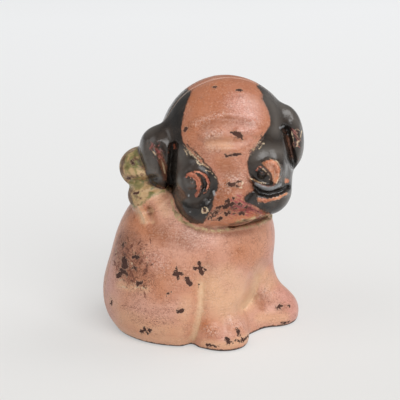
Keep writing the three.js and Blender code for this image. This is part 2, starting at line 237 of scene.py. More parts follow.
# Relief on the front: (path on the picture plane, half width in mm, height in mm), fading out at its edges.
FRONT_RELIEF = (
    # near eye: socket, ball, two crescent lids and the bag under it
    (((194, 186), (198, 185)), 6.4, -1.1),
    (((191.8, 184.5),), 3.4, 2.2),
    ((
        (186.3, 177.3), (190.2, 173.9), (194.9, 174.5), (198.8, 178.1), (201.1, 185.1), (200.8, 190.5),
        (198, 195.2),
    ), 1.5, 1.4),
    ((
        (195, 172), (199, 172), (203.5, 174.5), (206.6, 178.3), (208.2, 183), (207.6, 188.3), (204, 192.6),
    ), 1.2, 1.0),
    (((178, 191), (182, 199), (189, 203.5), (198, 203.5), (206, 199)), 2.6, -0.6),
    # far eye: socket, ball, lid, lower lid, crease and cheek fold
    (((264, 172), (268, 172)), 6.6, -1.5),
    (((261.8, 173.4),), 3.2, 2.3),
    (((266, 162.5), (272, 162), (277, 166), (279, 172), (277.5, 178), (274, 182)), 2.3, 1.8),
    (((250, 178.5), (256, 183), (263.3, 186.4), (268, 187.6), (274, 186), (279, 181.5)), 1.8, 1.9),
    (((254, 187), (260, 192.5), (269, 194), (280, 191), (287, 187)), 1.9, -1.5),
    (((258.6, 199.1), (263.3, 200.3), (269.5, 200), (277.3, 197.9), (286, 194)), 1.5, 0.9),
    # nose, mouth and muzzle creases
    (((230, 184), (238, 183)), 3.6, 0.9),
    (((205, 221), (213, 213), (224, 210), (236, 211), (248, 211), (262, 214)), 1.8, -0.6),
    (((219, 190), (215, 200), (211, 212)), 2.2, -0.6),
    (((250, 180), (252, 190), (247, 199)), 2.0, -0.6),
    # folds of the brow and the hollows between them
    (((193, 126), (203, 121), (213, 117), (224.5, 113.6)), 3.4, 0.7),
    (((200, 128), (212, 123), (226, 118.8), (238, 119.5), (250, 123)), 2.8, -0.4),
    (((230, 114.5), (242, 115.5), (252, 119), (259, 125)), 3.2, 0.6),
    (((203, 136.5), (210, 133.5), (221, 133)), 3.4, 1.0),
    (((238, 131), (250, 131), (258, 134)), 2.8, 0.8),
    (((204, 142.5), (216, 140.5), (232, 142), (244, 141)), 2.4, -0.5),
    (((204, 151), (213, 148.5), (224, 149), (236, 150)), 2.3, 0.6),
    # ears: the slits beside the cheeks, the hollow of the near one and its rolled edge
    (((173.5, 146), (172.5, 154), (172, 168), (171, 180), (170, 188)), 2.6, -3.2),
    (((160, 148), (163.5, 158), (165, 172)), 3.3, -2.0),
    (((146, 140), (143.5, 152), (147, 166), (155, 174)), 2.4, 0.7),
    (((284.5, 128), (288.5, 130)), 2.6, -1.5),
    (((286.5, 130), (289, 143), (291.5, 155), (294, 167)), 2.5, -2.1),
    (((293, 120), (298, 128), (300, 145), (298, 160)), 1.8, 0.6),
    # creases of the legs, toes of the paws
    (((205, 268), (201, 285), (200, 298), (199, 312), (196, 324), (191, 341)), 5.5, -1.7),
    (((201, 284), (200.5, 298), (199.5, 312), (196.5, 324), (192.5, 338)), 2.2, -0.8),
    (((263, 266), (257, 277), (254, 287), (252.5, 296), (248, 302), (240, 310)), 5.0, -1.6),
    (((257, 277), (254, 289), (250, 298), (243, 307)), 2.2, -0.8),
    (((223, 313), (225, 324), (224, 336)), 4.0, -0.6),
    (((209, 329), (214, 330)), 5.5, 0.8),
    (((233, 322), (239, 326)), 5.5, 0.8),
    (((266, 293), (271, 296)), 5.0, 0.7),
    # tail of the neck ribbon
    (((138, 206), (142, 213), (145.5, 222)), 1.1, 0.8),
    (((148, 205), (151, 213), (152, 222)), 3.0, -1.0),
    # folds of the bow
    (((125, 179.5), (134, 180.5), (144, 180), (156, 177)), 2.0, -1.4),
    (((122, 165), (132, 164), (142, 168)), 2.2, -0.8),
    (((131, 149), (136, 157), (143, 166)), 2.2, -0.7),
    (((128, 190), (140, 188), (152, 183)), 2.2, -0.7),
    (((136, 200), (146, 193), (158, 188)), 2.0, -0.6),
    # under the chin: the lip, the gap below it and the ribbon
    (((236, 222), (254, 218), (270, 214)), 1.2, 0.6),
    (((230, 225.6), (244.6, 223.4), (257, 220.6), (266, 217.4)), 1.2, -1.4),
    ((
        (173, 208), (178, 218), (186, 223.2), (198, 228), (209, 230.4), (221, 230.6), (232, 229), (246, 227),
        (258, 224.5), (270, 219),
    ), 1.4, 0.4),
)
# Guessed relief on the back, laid out on the plane behind: thigh and tail.
BACK_RELIEF = (
    (((164, 302), (186, 304)), 15.0, 1.0),
    ((
        (143, 318), (144, 300), (149, 284), (159, 273), (172, 268), (184, 271), (195, 281), (202, 294),
        (206, 310),
    ), 2.8, -1.5),
    (((268, 282), (266, 296), (259, 306), (247, 313), (232, 315), (219, 312)), 6.4, -1.1),
    (((268, 280), (266, 295), (259, 305)), 5.6, 1.8),
    (((266, 295), (259, 305), (247, 312), (232, 314), (220, 312)), 4.6, 2.3),
)
# The neck ribbon: a round band about the middle of the neck, on a plane that rises to the back and falls to
# the right. Its half width, thickness and reach; its ends in front, on the far side of the neck and the near.
NECK_MIDDLE = (8, -2, 62)
RIBBON_RISE, RIBBON_FALL = 0.26, 0.28
RIBBON_HALF, RIBBON_THICK, RIBBON_REACH, RIBBON_FADE = 2.1, 1.1, 38, 4
FAR_SIDE = 20
RIBBON_ENDS, RIBBON_TAPER = (-11, -2), 6


def ribbon_height(x, y, z):
    """Height above the tilted plane that the neck ribbon lies in."""
    return z - (NECK_MIDDLE[2] + RIBBON_RISE * (y - NECK_MIDDLE[1]) - RIBBON_FALL * (x - NECK_MIDDLE[0]))


def neck_radius(x, y):
    """Distance from the upright line through the middle of the neck."""
    return np.hypot(x - NECK_MIDDLE[0], y - NECK_MIDDLE[1])


def figure_relief(x, y, z, facing, front):
    """Height of the relief: each stroke's height times (1 - (d/w)^2)^2, with d the distance to its path and w
    its half width, on what faces the plane; the neck ribbon's round band; the mould's unevenness."""
    across, down = picture_place(x, y, z) if front else back_place(x, z)
    height = np.zeros_like(x)
    for path, width, rise in FRONT_RELIEF if front else BACK_RELIEF:
        reach = width * SIGHT_UNITS
        xs, ys = zip(*path)
        close = np.nonzero(
            (across > min(xs) - reach) & (across < max(xs) + reach)
            & (down > min(ys) - reach) & (down < max(ys) + reach)
        )[0]
        share = np.clip(1 - (stroke_distance(across[close], down[close], path) / width) ** 2, 0, 1)
        height[close] += rise * share * share * facing[close]
    band = np.clip(1 - (ribbon_height(x, y, z) / RIBBON_HALF) ** 2, 0, 1)
    neck = np.clip((RIBBON_REACH - neck_radius(x, y)) / RIBBON_FADE, 0, 1)
    behind = np.clip((y - np.where(x > FAR_SIDE, *RIBBON_ENDS)) / RIBBON_TAPER, 0, 1)
    height += RIBBON_THICK * band * neck * behind
    for rise, size in SAND_RIPPLES:
        height = height + rise * sand_ripple(x, y, z, size)
    return height


# What is cast on and cut inside lies along Y, which is counted from the parting plane; places are (x, z).
SCREW_AXIS = (0.0, 36.0)
BOSS_DIAMETER, BORE_DIAMETER, BORE_END = 12.6, 5.4, -13.55
SEAT_Y, SEAT_DIAMETER, SEAT_LUG, SEAT_WALL, SEAT_DEPTH = 41.89, 10.4, 16.8, 5, 2.6
PIN_PLACES = ((9.64, 115.9), (-27.0, 8.3))
PIN_DIAMETER, PIN_LENGTH, PIN_ROOT = 3.2, 3.4, 4
SOCKET_DIAMETER, SOCKET_START, SOCKET_DEPTH = 3.8, -2, 4
PAD_DIAMETER, PAD_DEPTH, WEB_HALF = 10, 8, 3.3
# the coin slot's middle and half sizes, and where it starts inside
COIN_SLOT = ((9.0, 95.0), (16.0, 2.45))
SLOT_START = 10.8
# rounding of the foot, the rims and the slot; a length that reaches past the figure
FOOT_ROUND, RIM_ROUND, SLOT_ROUND, BEYOND = 1.0, 0.5, 0.8, 90
# relief is raised this far in and out from the plain skin, and fades out where that turns away
RELIEF_IN, RELIEF_OUT = -6, 3
FADE_START, FADE_RUN = 0.02, 0.25


def rod_distance(x, y, z, place, diameter, start, end):
    """Distance to a round bar along Y: the larger of that to its side and that to its nearer end."""
    side = np.hypot(x - place[0], z - place[1]) - diameter / 2
    return np.maximum(side, np.maximum(start - y, y - end))


def casting_field(x, y, z, front):
    """Signed distances on a lattice of one half casting and of the whole figure: the figure with its relief,
    less the room inside, with bosses and pads added, bores cut, and all past the parting plane taken off."""
    drawn = [axis / FIGURE_SCALE for axis in (x, y, z)]
    body, head, ear, far_ear, bow = figure_parts(*drawn)
    trunk = melted(body, head, HEAD_MELT)
    room = melted(trunk + WALL, bow + WALL, 1)
    figure = melted(melted(trunk, melted(ear, far_ear, 1), EAR_MELT), bow, BOW_MELT)
    del body, head, ear, far_ear, bow, trunk
    slope = np.gradient(figure, NET_PITCH / FIGURE_SCALE)
    facing = sum(s * float(a) for s, a in zip(slope, SIGHT_BACK if front else (0, 1, 0)))
    del slope
    near = np.nonzero((figure.ravel() > RELIEF_IN) & (figure.ravel() < RELIEF_OUT))[0]
    facing = np.clip((facing.ravel()[near] - FADE_START) / FADE_RUN, 0, 1)
    figure.ravel()[near] -= figure_relief(*(axis.ravel()[near] for axis in drawn), facing, front)
    figure = -melted(-figure, z, FOOT_ROUND)
    room = np.maximum(room, FLOOR - z)
    figure = np.minimum(figure, room - LEAST_METAL)
    inside = rod_distance(x, y, z, SCREW_AXIS, BOSS_DIAMETER, -BEYOND, SEAT_Y)
    lug = rod_distance(x, y, z, SCREW_AXIS, SEAT_LUG, SEAT_Y - SEAT_WALL, SEAT_Y + SEAT_DEPTH)
    inside = np.minimum(inside, lug)
    for place in PIN_PLACES:
        inside = np.minimum(inside, rod_distance(x, y, z, place, PAD_DIAMETER, -PAD_DEPTH, PAD_DEPTH))
        outward = np.sign(place[1] - NECK_MIDDLE[2])
        tall = np.abs(z - place[1] - outward * (PAD_DIAMETER / 2)) - PAD_DIAMETER / 2
        web = np.maximum(np.abs(x - place[0]) - WEB_HALF, tall)
        inside = np.minimum(inside, np.maximum(web, np.abs(y) - PAD_DEPTH))
    shell = np.maximum(figure, -room)
    shell = np.minimum(shell, np.maximum(inside, figure))
    shell = np.maximum(shell, -rod_distance(x, y, z, SCREW_AXIS, BORE_DIAMETER, BORE_END, BEYOND))
    shell = np.maximum(shell, -rod_distance(x, y, z, SCREW_AXIS, SEAT_DIAMETER, SEAT_Y, BEYOND))
    if front:
        half = -melted(-shell, -y - RIM_GAP, RIM_ROUND)
        for place in PIN_PLACES:
            half = np.minimum(half, rod_distance(x, y, z, place, PIN_DIAMETER, -PIN_ROOT, PIN_LENGTH))
    else:
        half = -melted(-shell, y - RIM_GAP, RIM_ROUND)
        for place in PIN_PLACES:
            socket = rod_distance(x, y, z, place, SOCKET_DIAMETER, SOCKET_START, SOCKET_DEPTH)
            half = np.maximum(half, -socket)
        wide, tall = (np.abs(axis - at) - reach for axis, at, reach in zip((x, z), *COIN_SLOT))
        slot = np.maximum(np.maximum(wide, tall), SLOT_START - y)
        half = -melted(-half, slot, SLOT_ROUND)
    return half, figure


def level_skin(values, low):
    """The skin where a field on a lattice is zero: one point in each cell that it crosses, the mean of its
    crossings of the cell's twelve edges, and one quad for each lattice edge it crosses, between four cells.
    The ears, bow, legs and hollow of a half casting are one closed skin that no two-parameter grid covers."""
    size = np.array(values.shape) - 1
    within = values < 0
    count = np.zeros(size, np.int8)
    for corner in np.ndindex(2, 2, 2):
        count += within[tuple(slice(c, c + n) for c, n in zip(corner, size))]
    cells = np.argwhere((count > 0) & (count < 8))
    index = np.full(size, -1, np.int32)
    index[tuple(cells.T)] = np.arange(len(cells))
    total, hits = np.zeros((len(cells), 3), np.float32), np.zeros(len(cells), np.float32)
    quads = []
    for axis in range(3):
        second, third = (axis + 1) % 3, (axis + 2) % 3
        for b, c in np.ndindex(2, 2):
            start = cells.copy()
            start[:, second] += b
            start[:, third] += c
            end = start.copy()
            end[:, axis] += 1
            first, last = values[tuple(start.T)], values[tuple(end.T)]
            crossed = (first < 0) != (last < 0)
            point = start.astype(np.float32)
            point[:, axis] += np.where(crossed, first / np.where(crossed, first - last, 1), 0)
            total += point * crossed[:, None]
            hits += crossed
        here = [slice(None)] * 3
        here[axis] = slice(0, -1)
        there = list(here)
        there[axis] = slice(1, None)
        edges = np.argwhere(within[tuple(here)] != within[tuple(there)])
        ring = []
        for b, c in ((-1, -1), (0, -1), (0, 0), (-1, 0)):
            cell = edges.copy()
            cell[:, second] += b
            cell[:, third] += c
            ring.append(index[tuple(cell.T)])
        ring = np.stack(ring, 1)
        outward = within[tuple(edges.T)]
        quads.append(np.where(outward[:, None], ring, ring[:, ::-1]))
    points = low + NET_PITCH * total / hits[:, None]
    return points, np.concatenate(quads)


def open_triangles(triangles):
    """The triangles whose three corners are all different points."""
    a, b, c = triangles.T
    return triangles[(a != b) & (b != c) & (a != c)]


def coarser_inside(points, quads, deep):
    """Points and triangles of a skin whose unseen points, where deep, are gathered at the mean of each larger
    cell, with the number each point had before, -1 for a mean. Where that folds the skin on itself, so that
    an edge has more than two triangles, the points stay as they were."""
    # the larger cells are numbered in a block of this many a side
    side = 1000
    folded = deep
    while folded.any():
        cell = np.floor(points[deep] / INSIDE_PITCH).astype(np.int64) + side // 2
        key = (cell[:, 0] * side + cell[:, 1]) * side + cell[:, 2]
        _, gathered = np.unique(key, return_inverse=True)
        means = np.stack([np.bincount(gathered, points[deep, a]) for a in range(3)], 1)
        means /= np.bincount(gathered)[:, None]
        fresh = np.empty(len(points), np.int64)
        fresh[~deep] = np.arange((~deep).sum())
        fresh[deep] = (~deep).sum() + gathered
        triangles = open_triangles(fresh[np.concatenate([quads[:, [0, 1, 2]], quads[:, [0, 2, 3]]])])
        _, same, times = np.unique(np.sort(triangles, 1), axis=0, return_inverse=True, return_counts=True)
        triangles = triangles[times[same.ravel()] % 2 == 1]
        edges = np.concatenate([triangles[:, pair] for pair in ([0, 1], [1, 2], [2, 0])])
        edges, shared = np.unique(np.sort(edges, 1), axis=0, return_counts=True)
        folded = deep & np.isin(fresh, edges[shared > 2])
        deep = deep & ~folded
    source = np.concatenate([np.nonzero(~deep)[0], np.full(len(means), -1)])
    used = np.zeros(len(source), bool)
    used[triangles] = True
    return np.concatenate([points[~deep], means])[used], (np.cumsum(used) - 1)[triangles], source[used]


# Paint on the front, as closed outlines on the picture plane.
BLACK_NEAR = (
    (191.5, 84), (190, 94), (186.5, 104), (184, 112), (182.5, 120), (181, 128), (181, 134), (183, 142),
    (187, 149), (193, 155), (199, 161), (205, 167), (211, 170), (216, 176), (218, 183), (217, 189),
    (214, 195), (213, 201), (212, 207), (209, 213), (206, 219), (203, 223), (197, 224), (190, 222),
    (183, 216), (177, 208), (173, 198), (168, 192), (120, 192), (120, 70), (180, 70),
)
BLACK_FAR = (
    (254, 76), (258, 87), (262, 92), (264, 101), (268, 109), (271, 118), (270, 126), (266, 132), (260, 140),
    (254, 150), (249, 157), (247.5, 162), (248, 170), (250.5, 177), (253, 185), (255, 190), (252, 192),
    (247, 194.6), (244.5, 198.5), (246, 202), (251, 203.6), (257, 206.5), (265, 212), (280, 217), (330, 217),
    (330, 60),
)
RED_MOUTH = (
    (229, 202), (238, 195.5), (246, 199.5), (250, 204.5), (261, 210), (266, 213), (255, 216), (240, 214),
    (231, 210.5), (227, 206),
)
BOW_GREEN = (
    (112, 150), (140, 136), (176, 146), (180, 186), (166, 190.5), (150, 197.5), (136, 208), (122, 208),
)
FAR_LID = (
    (262.3, 163.8), (266.2, 160.6), (272, 159.4), (277.3, 162.6), (280.2, 169.3), (279.2, 176.6),
    (276.2, 182.4), (272.2, 181), (272.6, 176.5), (270.6, 172.4), (267.4, 169.6), (263.6, 166.6),
)
# Brush strokes, lines, scratches and chips, and painted shade, sheen and glints: points on the picture plane,
# then the half width in mm.
FRONT_STROKES = {
    "orange": (
        ((259.5, 199.6), (266, 200.4), 0.9), ((266, 200.4), (272, 199.6), (279, 197.4), 0.65),
        ((279, 197.4), (287, 193.3), 0.4), ((286.5, 180.7), 1.0),
    ),
    "russet": (
        ((186.5, 176.6), (189, 174.6), 0.6), ((189, 174.8), (193, 174.8), (196.6, 178.4), 1.1),
        ((196.6, 178.4), (198.8, 183.5), (199, 187.5), 1.0), ((199, 187.5), (198, 192.4), (196, 195.4), 0.6),
        ((194.5, 171.8), (199, 171.9), (203.5, 174.3), 0.35),
        ((203.5, 174.3), (206.6, 178.2), (208.2, 183), (207.6, 188.3), 0.5),
        ((207.6, 188.3), (204, 192.8), 0.3), ((256.5, 170), (259.4, 166.8), (263, 167.4), 0.3),
        ((173.8, 145), (174.4, 148), 0.5),
    ),
    "ear_brown": (
        ((159, 152), (162, 160), (164.5, 170), (166, 178), 1.5), ((152, 147), (158, 150), 0.8),
        ((287, 136), (290, 148), (292.5, 160), 0.5), ((158, 186), (166, 189), 0.4),
    ),
    # painted shade on the black, darkest under the near jowl, in the slits beside the ears, in the crease under
    # the far eye and along the temple
    "painted_shade": (
        ((184, 206), (192, 213), (202, 211), (211, 201), (215, 191), 2.6),
        ((173, 146), (172, 168), (170.5, 190), 1.4), ((252, 183), (262, 193), (280, 191), (288, 187), 1.6),
        ((285, 127), (289, 145), (294, 167), 1.6), ((150, 178), (160, 186), (168, 188), 1.6),
        ((203.5, 179), (203.8, 189), 0.7), ((246, 198), (252, 194), 1.0), ((260, 172), (265, 177), 1.6),
        ((265, 208), (280, 213), (292, 208), 2.0), ((186, 88), (178, 106), (174, 124), 2.0),
    ),
    # painted sheen on the black: lighter grey where the gloss would reflect the soft boxes, on the ears, cheeks
    # and temples
    "painted_sheen": (
        ((146, 148), (149, 166), (157, 178), 3.2), ((182, 154), (178, 172), (176, 192), 2.6),
        ((186, 182), (191, 184), 1.6), ((255, 156), (258, 152), (268, 150), (280, 152), 2.8),
        ((268, 98), (274, 112), (276, 130), 2.6), ((287, 204), (291, 192), 1.8),
        ((160, 112), (146, 130), 2.6), ((276, 100), (290, 112), (299, 124), 2.2),
        ((301, 150), (298, 162), 1.4), ((180, 200), (186, 204), 1.6), ((284, 176), (284, 186), 1.4),
        ((262, 204), (272, 205), 1.2),
    ),
    "glint": (
        ((256, 184), (262, 187.3), (268, 189), (275, 187.6), (280, 184.5), 0.75),
        ((229.5, 184.6), (231, 185), 0.3), ((214, 191.5), (214.6, 195), 0.5), ((189, 195.3), 0.4),
        ((190, 212), 0.35), ((280, 128), (284, 126), 0.4),
    ),
    "fine": (
        # rim of the far lid, under the far eye
        ((266, 159.6), (271.5, 158.4), (277.6, 161.6), (281, 168.6), (280.2, 176.6), (276.6, 183.2), 0),
        ((250, 178), (254, 180.2), (259.4, 182.4), (266, 183), 0.1),
        ((262, 168), (266.5, 171.5), (269.5, 176), 0),
        # far ear
        ((291.5, 131), (293.5, 140), (293.8, 147.5), 0), ((293, 130), (297.5, 129.3), (301.5, 131.5), 0),
        ((296.5, 133), (298, 139), (297, 146), 0), ((301.5, 131.5), (300, 139), (297.5, 147), 0),
        # scratches beside the near eye and over the far one
        ((185.5, 147), (190.5, 152.5), (197.5, 159.5), (204, 165), 0.1), ((184, 149), (187.5, 155), 0.1),
        ((199, 163.5), (204, 164.5), (208, 167.5), 0.12), ((205, 170), (210, 171.5), (216, 177.5), 0),
        ((189, 148), (195, 154), (201, 159), 0), ((187, 150), (194, 159), (200, 165), 0),
        ((262, 139), (257, 146), (252, 151), 0.1), ((264, 143), (259, 149), 0.1),
        ((258, 142), (254.5, 148), 0),
        # nose, chin and near ear
        ((226.5, 182.5), (229, 180.8), 0), ((239.5, 180.5), (243, 182.5), (241, 186), 0),
        ((237, 187.5), (242, 188), 0), ((158, 160), (161.5, 153), 0), ((162.5, 163), (165.5, 174), 0.15),
        ((161, 157), (163, 166), 0), ((152, 150), (155.5, 155), 0), ((224, 157.6), (233, 156.6), 0),
        # shreds round the worn flank
        ((128, 283.5), (136, 287.2), (147, 288), 0.12), ((117, 281), (123, 279), (127, 283), 0.1),
        ((140, 249), (146, 256), (149, 268), 0), ((131, 251), (137, 254), 0), ((126, 276), (131, 282), 0.1),
        ((143, 272), (149, 281), 0), ((116, 250), (117, 262), 0), ((122, 286), (130, 290), 0.1),
        ((133, 283), (144, 285.5), 0.1), ((131, 262), (136, 270), 0.05), ((138, 259), (143, 264), 0.05),
        ((127, 254), (130, 262), 0),
    ),
    "dark_line": (
        ((186.5, 143.5), (192, 150.3), (199, 157), (206, 163.6), 0.22),
        ((191, 147), (197.5, 154), (203, 159.6), 0.14), ((203, 162.5), (209, 166.6), (215.5, 173), 0.22),
        ((195, 154.5), (201, 160.5), 0.2), ((264, 137.5), (258.5, 144.5), (252, 152), 0.4),
        ((261, 143.5), (256, 149.5), 0.3), ((254, 149), (250, 154), 0.3),
        # inner side of the far lid: painted shade
        ((262.6, 166), (266.8, 169.8), (270.4, 174.5), (271.6, 180), 0.6),
        ((281.8, 165), (282.4, 174), (279, 183), 0.15),
    ),
    "cream": (
        ((201.5, 284), (201, 298), (200, 312), (197, 324), (193, 338), 0),
        ((257, 277), (254.3, 290), (250, 299), (243, 307.5), 0),
        ((142, 199), (150, 196), (160, 192.5), (168, 190), 0), ((138, 207), (141, 213), (144.5, 221), 0),
    ),
    "strap": (
        (
            (173, 208), (178, 218), (186, 223.2), (198, 228), (209, 230.2), (221, 230.5), (232, 228.8),
            (246, 226.8), 0,
        ),
        ((246, 226.8), (258, 224.4), (270, 218.5), 0), ((236.5, 222.2), (254, 218.3), (270, 214.3), 0),
        ((171, 200), (174, 210), (181, 218), 0),
    ),
    "shadow": (
        ((230, 225.6), (244.6, 223.6), (257, 220.8), (264, 218.2), 0),
        ((206, 228), (216, 229), (228, 227.5), 0), ((149, 208), (150.5, 214), 0),
        ((184, 225), (194, 229), (204, 232), -0.2),
    ),
    "bow_brown": (
        ((120.5, 174), (121, 163), (124.5, 154), (131.5, 147.5), (140, 142), 1.1),
        ((135, 157), (140, 163), (144, 170), 0.3), ((126, 178), (134, 176.6), (142, 175), 0.3),
        ((130, 190), (135, 194.5), (141, 199), 0.35), ((125.5, 182), (127.5, 192), (132, 203), 0.7),
        ((147, 183), (156, 181), 0.2),
    ),
    "chip": (
        # brow and crown
        ((235.5, 134), (239.5, 136), 1.5), ((226.5, 156), (232, 155.3), 0.8),
        ((232, 155.3), (240, 154.3), 0.65), ((237, 90), (241, 90.3), 0.55),
        ((213.5, 87.5), (216.5, 87), 0.35), ((185.2, 131), (186.3, 128), 0.5),
        ((232, 132.5), (234, 133), 0.5), ((237, 138), (241, 138), 0.6),
        # nose, mouth and chin
        ((229, 184), (233, 184.5), 1.1), ((237, 182.5), (240, 181.5), 0.6),
        ((236.5, 186), (238, 186.5), 0.4), ((224, 207), (231.5, 203.5), 1.0),
        ((218, 208), (221, 206.5), 0.6), ((211.5, 214), (214.5, 212.5), 0.8),
        ((226, 215), (227.5, 213.5), 0.7), ((218.5, 219.5), (221, 218), 0.85),
        ((240.5, 214), (244, 212.5), 0.65), ((236, 208.5), (237, 208), 0.4),
        ((215, 216.5), (215.8, 216), 0.35), ((229.5, 210.5), (231, 210), 0.45),
        ((232.5, 198.5), (234, 198), 0.35), ((246, 208), (247, 208), 0.3),
        ((204.6, 210), (204.8, 210.2), 0.6), ((208, 218), (210, 217), 0.5), ((222, 213), (224, 212), 0.5),
        ((233, 213.5), (235, 213), 0.45), ((217, 212), (219, 210.5), 0.45), ((238, 204), (240, 203), 0.35),
        ((226.5, 201), (229, 200), 0.5), ((243, 208), (245, 207.5), 0.4), ((212, 220), (213, 219.6), 0.35),
        # chest and belly
        ((194, 268.3), (199, 267.5), 0.8), ((199, 264), (200, 268), 1.0),
        ((200, 267.5), (204.8, 269.3), 0.9), ((200, 268), (202, 272.5), 1.1),
        ((177, 269.5), (177.5, 279), 0.8), ((174.5, 274.5), (180.5, 273.5), 1.0),
        ((187, 279), (189.5, 283.5), 1.4), ((185.5, 277.8), (186.5, 279), 0.6),
        ((177.5, 312), (182.5, 310.3), 0.75), ((141, 331.5), (150, 330), 0.7),
        ((144, 328.5), (148, 333), 0.6), ((111, 298.5), (111.5, 304.5), 0.45),
        ((166.5, 294.5), (170.5, 292.8), 0.35), ((198.7, 284.5), (198.7, 287.5), 0.25),
        # paws
        ((237.5, 329.5), (239, 334.5), 0.9), ((227.5, 339), (228.5, 342.5), 1.1),
        ((230, 341.5), (233, 341.8), 0.4), ((237, 340.5), (241, 341.3), 0.7),
        ((242, 340), (245.5, 339), 0.6), ((246.5, 337.5), (249, 335), 0.35),
        ((207, 344), (211, 344.6), 0.55), ((215.5, 346.8), (219.5, 346.4), 0.45),
        ((278, 307.5), (281.5, 306), 0.6), ((280, 304.8), (280.3, 308.5), 0.5),
        ((288.8, 305), (290.3, 308), 0.45), ((282.5, 323.3), (288, 321.7), 0.55),
        # bow
        ((132, 161.5), (134, 163.5), 0.7), ((128, 178), (131, 178.5), 0.5),
        ((134.5, 193), (137.5, 193.5), 0.8),
        # flank
        ((124, 260), (125.5, 267), 1.5), ((118, 276), (124, 272), 1.1), ((133.5, 257.5), (137, 257), 0.8),
        ((133, 268), (135.5, 268.5), 0.8), ((137.5, 283.5), (141, 283), 0.9), ((121, 270), (126, 274), 0.9),
        ((122, 245), (125, 243), 0.5),
    ),
    "muzzle": (((212, 214), (226, 206), (240, 206), (256, 210), 0.4),),
    "specks": (
        ((136, 318), (150, 322), (172, 322), 0.6), ((124, 306), (148, 311), (172, 309), 0),
        ((130, 297), (154, 300), -1.5), ((268, 300), (280, 306), -0.8),
        ((128, 236), (140, 244), (150, 256), 0), ((226, 122), (242, 122), 0),
    ),
    "flank": (
        ((126, 243), (126, 260), (131, 273), (139, 281), 0), ((137, 256), (143, 270), (146, 282), -1.0),
    ),
    "scratch": (((185, 146), (191, 154), (199, 161), (208, 171), 0), ((262, 136), (256, 147), (252, 152), 0)),
    "ear_wear": (((152, 146), (158, 150), (160, 157), 0), ((295, 132), (298, 138), (297, 146), 0)),
}
# Scuffs strewn over the worn flank about its middle, any way round, about 1 to 5 mm long.
SCUFFS, STREWN_SEED = 96, 11
FLANK_MIDDLE, FLANK_SPREAD = (132.5, 264.0), (9.0, 12.0)
strewn = np.random.default_rng(STREWN_SEED)
scuff_middles = FLANK_MIDDLE + strewn.normal(size=(SCUFFS, 2)) * FLANK_SPREAD
scuff_turns = strewn.uniform(0, 2 * np.pi, SCUFFS)
scuff_reach = strewn.uniform(1.0, 4.6, (SCUFFS, 1)) * np.stack([np.cos(scuff_turns), np.sin(scuff_turns)], 1)
FRONT_STROKES["scuffs"] = tuple(
    (tuple(middle - reach), tuple(middle + reach * (0.6, 1.3)), width)
    for middle, reach, width in zip(scuff_middles, scuff_reach, strewn.uniform(0.02, 0.3, SCUFFS))
)
